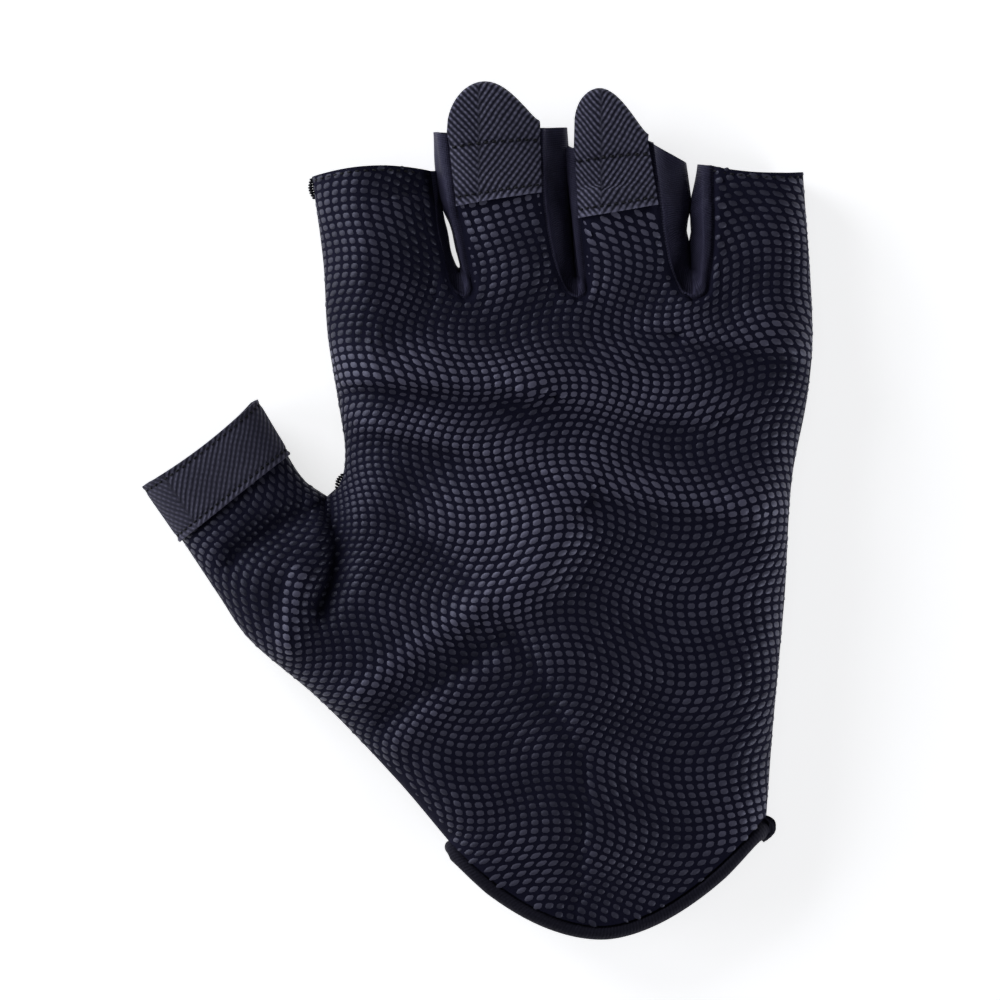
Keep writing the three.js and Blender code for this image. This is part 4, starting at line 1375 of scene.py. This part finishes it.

# %% [markdown]
# The print is a satin rubber. Its colour carries painted light on the crests of the folds and painted
# shade in the creases, partly standing for wear, so each dot carries how pale it is painted.

# %% Grip dots
rubber = Finish("grip_rubber", 0.5, Specular_IOR_Level=0.45, Specular_Tint=(0.75, 0.78, 1, 1))
spot = rubber.place()
shade = rubber.noise(spot, 0.42, 2) * 0.25 + rubber.noise(spot, 1.9, 2) * 0.15
painted_light_shade_wear_share = rubber.node("ShaderNodeAttribute", {"attribute_name": "painted_light_shade_and_wear"}, output=2)
# The dots' paleness is painted light and painted shade, partly wear, read from each dot's attribute
paleness = (painted_light_shade_wear_share * 0.8 + shade).step(0.12, 1.05)
rubber.colour(rubber.blend((0.0125, 0.012, 0.0235), (0.111, 0.107, 0.157), paleness))
rubber.rough(rubber.noise(spot, 0.8, 2) * 0.2 + 0.36)
rubber.relief(rubber.noise(spot, 4.0, 2) * 0.05)
rubber.on(grip_dots)

# %% [markdown]
# The back is a plain jersey: rows of small loops. The side cloth is a finer, smoother stretch
# knit with a faint rib along the strip.

# %% Knits
jersey = Finish("back_jersey", 0.85, Specular_IOR_Level=0.15, Sheen_Weight=0.08, Sheen_Roughness=0.45)
x, y = jersey.flat()
wale = x.wave(1.1)
loop = (y + wale * 0.35).wave(0.8)
fuzz = jersey.noise(jersey.place(), 2.4, 3)
paleness = wale * 0.35 + loop * 0.35 + fuzz * 0.3
jersey.colour(jersey.blend((0.0035, 0.0035, 0.0065), (0.013, 0.013, 0.020), paleness))
jersey.relief(wale * 0.16 + loop * 0.1 + fuzz * 0.06)
jersey.on(back_cloth)

stretch = Finish("side_stretch", 0.55, Specular_IOR_Level=0.3, Specular_Tint=(0.7, 0.72, 1, 1))
x, y = stretch.flat()
fine_rib = x.wave(0.42)
cross = y.wave(0.46)
uneven = stretch.noise(stretch.place(), 0.5, 3)
paleness = fine_rib * 0.12 + cross * 0.4 + uneven * 0.48
stretch.colour(stretch.blend((0.009, 0.0085, 0.021), (0.064, 0.059, 0.108), paleness))
stretch.rough(uneven * 0.2 + 0.48)
stretch.relief(fine_rib * 0.02 + cross * 0.07 + uneven * 0.2)
stretch.on(*(piece for piece, _ in sides))

# %% [markdown]
# The tape is a broken twill: steep diagonal ribs lean to the right over most of its width and
# to the left along one side, so the two meet in a chevron.


# %% Twill tape
def twill(name, turn, lean, spine, dark, light):
    """A tape whose ribs turn right of its spine and lean left of it, both in degrees"""
    turn, lean = math.radians(turn), math.radians(lean)
    tape = Finish(name, 0.6, Specular_IOR_Level=0.3, Specular_Tint=(0.75, 0.75, 1, 1))
    x, y = tape.flat()
    sway = tape.noise(tape.place(), 0.25, 2) * 0.5
    main = x * math.cos(turn) - y * math.sin(turn) + sway
    other = x * math.cos(lean) + y * math.sin(lean) + sway
    side = x.step(spine - 0.4, spine + 0.4)
    rib = main.wave(1.06) * side + other.wave(0.98) * (1 - side)
    main_run = x * math.sin(turn) + y * math.cos(turn)
    other_run = x * math.sin(lean) - y * math.cos(lean)
    yarn = (main_run * side + other_run * (1 - side)).wave(1.15)
    grain = tape.noise(tape.place(), 2.2, 3)
    height = rib * (yarn * 0.38 + 0.62)
    selvage = tape.node("ShaderNodeAttribute", {"attribute_name": "selvage"}, output=2)
    paleness = (height * 0.75 + grain * 0.4 - 0.1 + selvage * 0.45).step(0.15, 1.05)
    tape.colour(tape.blend(dark, light, paleness))
    tape.rough(0.72 - rib * 0.18)
    tape.relief(height * 0.2 + grain * 0.04)
    return tape


tab_twill = twill("twill_of_tabs", 34, 42, 4.6, (0.0048, 0.0045, 0.0115), (0.185, 0.18, 0.265))
tab_twill.on(*(piece for piece, _, _ in tabs))
thumb_twill = twill("twill_of_thumb", 44, 40, 7.0, (0.026, 0.025, 0.040), (0.100, 0.095, 0.142))
thumb_twill.on(thumb_band)

# %% [markdown]
# The binding is a dull ribbed knit, nearly black. The thread is darker than the cloth round it, so
# that each stitch shows as a small dark mark.

# %% Binding and thread
roll = Finish("binding_knit", 0.75, Specular_IOR_Level=0.2, Specular_Tint=(0.75, 0.75, 1, 1))
x, y = roll.flat()
rib = (y + x * 0.35).wave(0.7)
fuzz = roll.noise(roll.place(), 1.6, 3)
roll.colour(roll.blend((0.0032, 0.0031, 0.0064), (0.0175, 0.0160, 0.0265), rib * 0.35 + fuzz * 0.65))
roll.relief(rib * 0.05 + fuzz * 0.16)
roll.on(wrist_binding)

thread = Finish("thread", 0.6, Specular_IOR_Level=0.25)
spot = thread.place()
ply = thread.noise(spot, 5.0, 2)
thread.colour(thread.blend((0.002, 0.002, 0.004), (0.012, 0.012, 0.018), ply))
thread.relief(ply * 0.05)
thread.on(stitches)

# %% [markdown]
# ## Table, light and camera
#
# The glove lies on a pale table that glows a little, like a photographer's light table. Two low
# soft lights rake over it from the left and one from the right, so that folds and rolled edges
# catch the light and the rest stays dark. A faint one from above keeps the hollows from going
# black. The camera looks straight down through a long lens.

# %% The table
TABLE_GLOW = 0.72
bpy.ops.object.select_all(action="DESELECT")
bpy.ops.mesh.primitive_plane_add(size=16, location=(0, 0, 0))
table = bpy.context.object
table.name = "table"
paper = Finish("pale_table", 0.9, Specular_IOR_Level=0.1)
paper.colour(paper.blend((0.86, 0.86, 0.86), (0.9, 0.9, 0.9), paper.noise(paper.place(), 0.002, 2)))
paper.shader.inputs["Emission Color"].default_value = (1, 1, 1, 1)
paper.shader.inputs["Emission Strength"].default_value = TABLE_GLOW
paper.on(table)


# %% The lights
def soft_light(name, way, height, power, away=1.3):
    """A panel of light; its way round the table and its height are in degrees"""
    lamp = bpy.data.lights.new(name, "AREA")
    lamp.shape, lamp.size, lamp.size_y, lamp.energy = "RECTANGLE", 0.6, 0.9, power
    lamp.color = (0.92, 0.94, 1)
    light = bpy.data.objects.new(name, lamp)
    way, height = math.radians(way), math.radians(height)
    towards = (math.cos(way) * math.cos(height), math.sin(way) * math.cos(height), math.sin(height))
    light.location = Vector(towards) * away
    light.rotation_euler = (-light.location).to_track_quat("-Z", "Y").to_euler()
    bpy.context.scene.collection.objects.link(light)
    print(name, "at", [round(v, 2) for v in light.location])


soft_light("far_left_light", 140, 20, 9.5)
soft_light("left_light", 182, 14, 6.5)
soft_light("right_light", 335, 14, 8)
soft_light("top_light", 90, 88, 0.8)

# %% The room
world = bpy.data.worlds.new("room")
world.use_nodes = True
world.node_tree.nodes["Background"].inputs["Color"].default_value = (0.9, 0.95, 1, 1)
world.node_tree.nodes["Background"].inputs["Strength"].default_value = 0.03
bpy.context.scene.world = world
bpy.context.scene.view_settings.view_transform = "Standard"

# %% The camera
# The width of the view at the height of the glove's skin, and its centre, in metres
FRAME_WIDTH = 0.210
FRAME_CENTRE = (0.00462, 0.0021)
CAMERA_HEIGHT = 3.0
SKIN_HEIGHT = 0.01
SENSOR_WIDTH = 36
lens = bpy.data.cameras.new("camera")
lens.sensor_width = SENSOR_WIDTH
lens.lens = SENSOR_WIDTH * (CAMERA_HEIGHT - SKIN_HEIGHT) / FRAME_WIDTH
print("lens", round(lens.lens), "mm")
lens.clip_start, lens.clip_end = 0.1, 20
camera = bpy.data.objects.new("camera", lens)
camera.location = (*FRAME_CENTRE, CAMERA_HEIGHT)
bpy.context.scene.collection.objects.link(camera)
bpy.context.scene.camera = camera
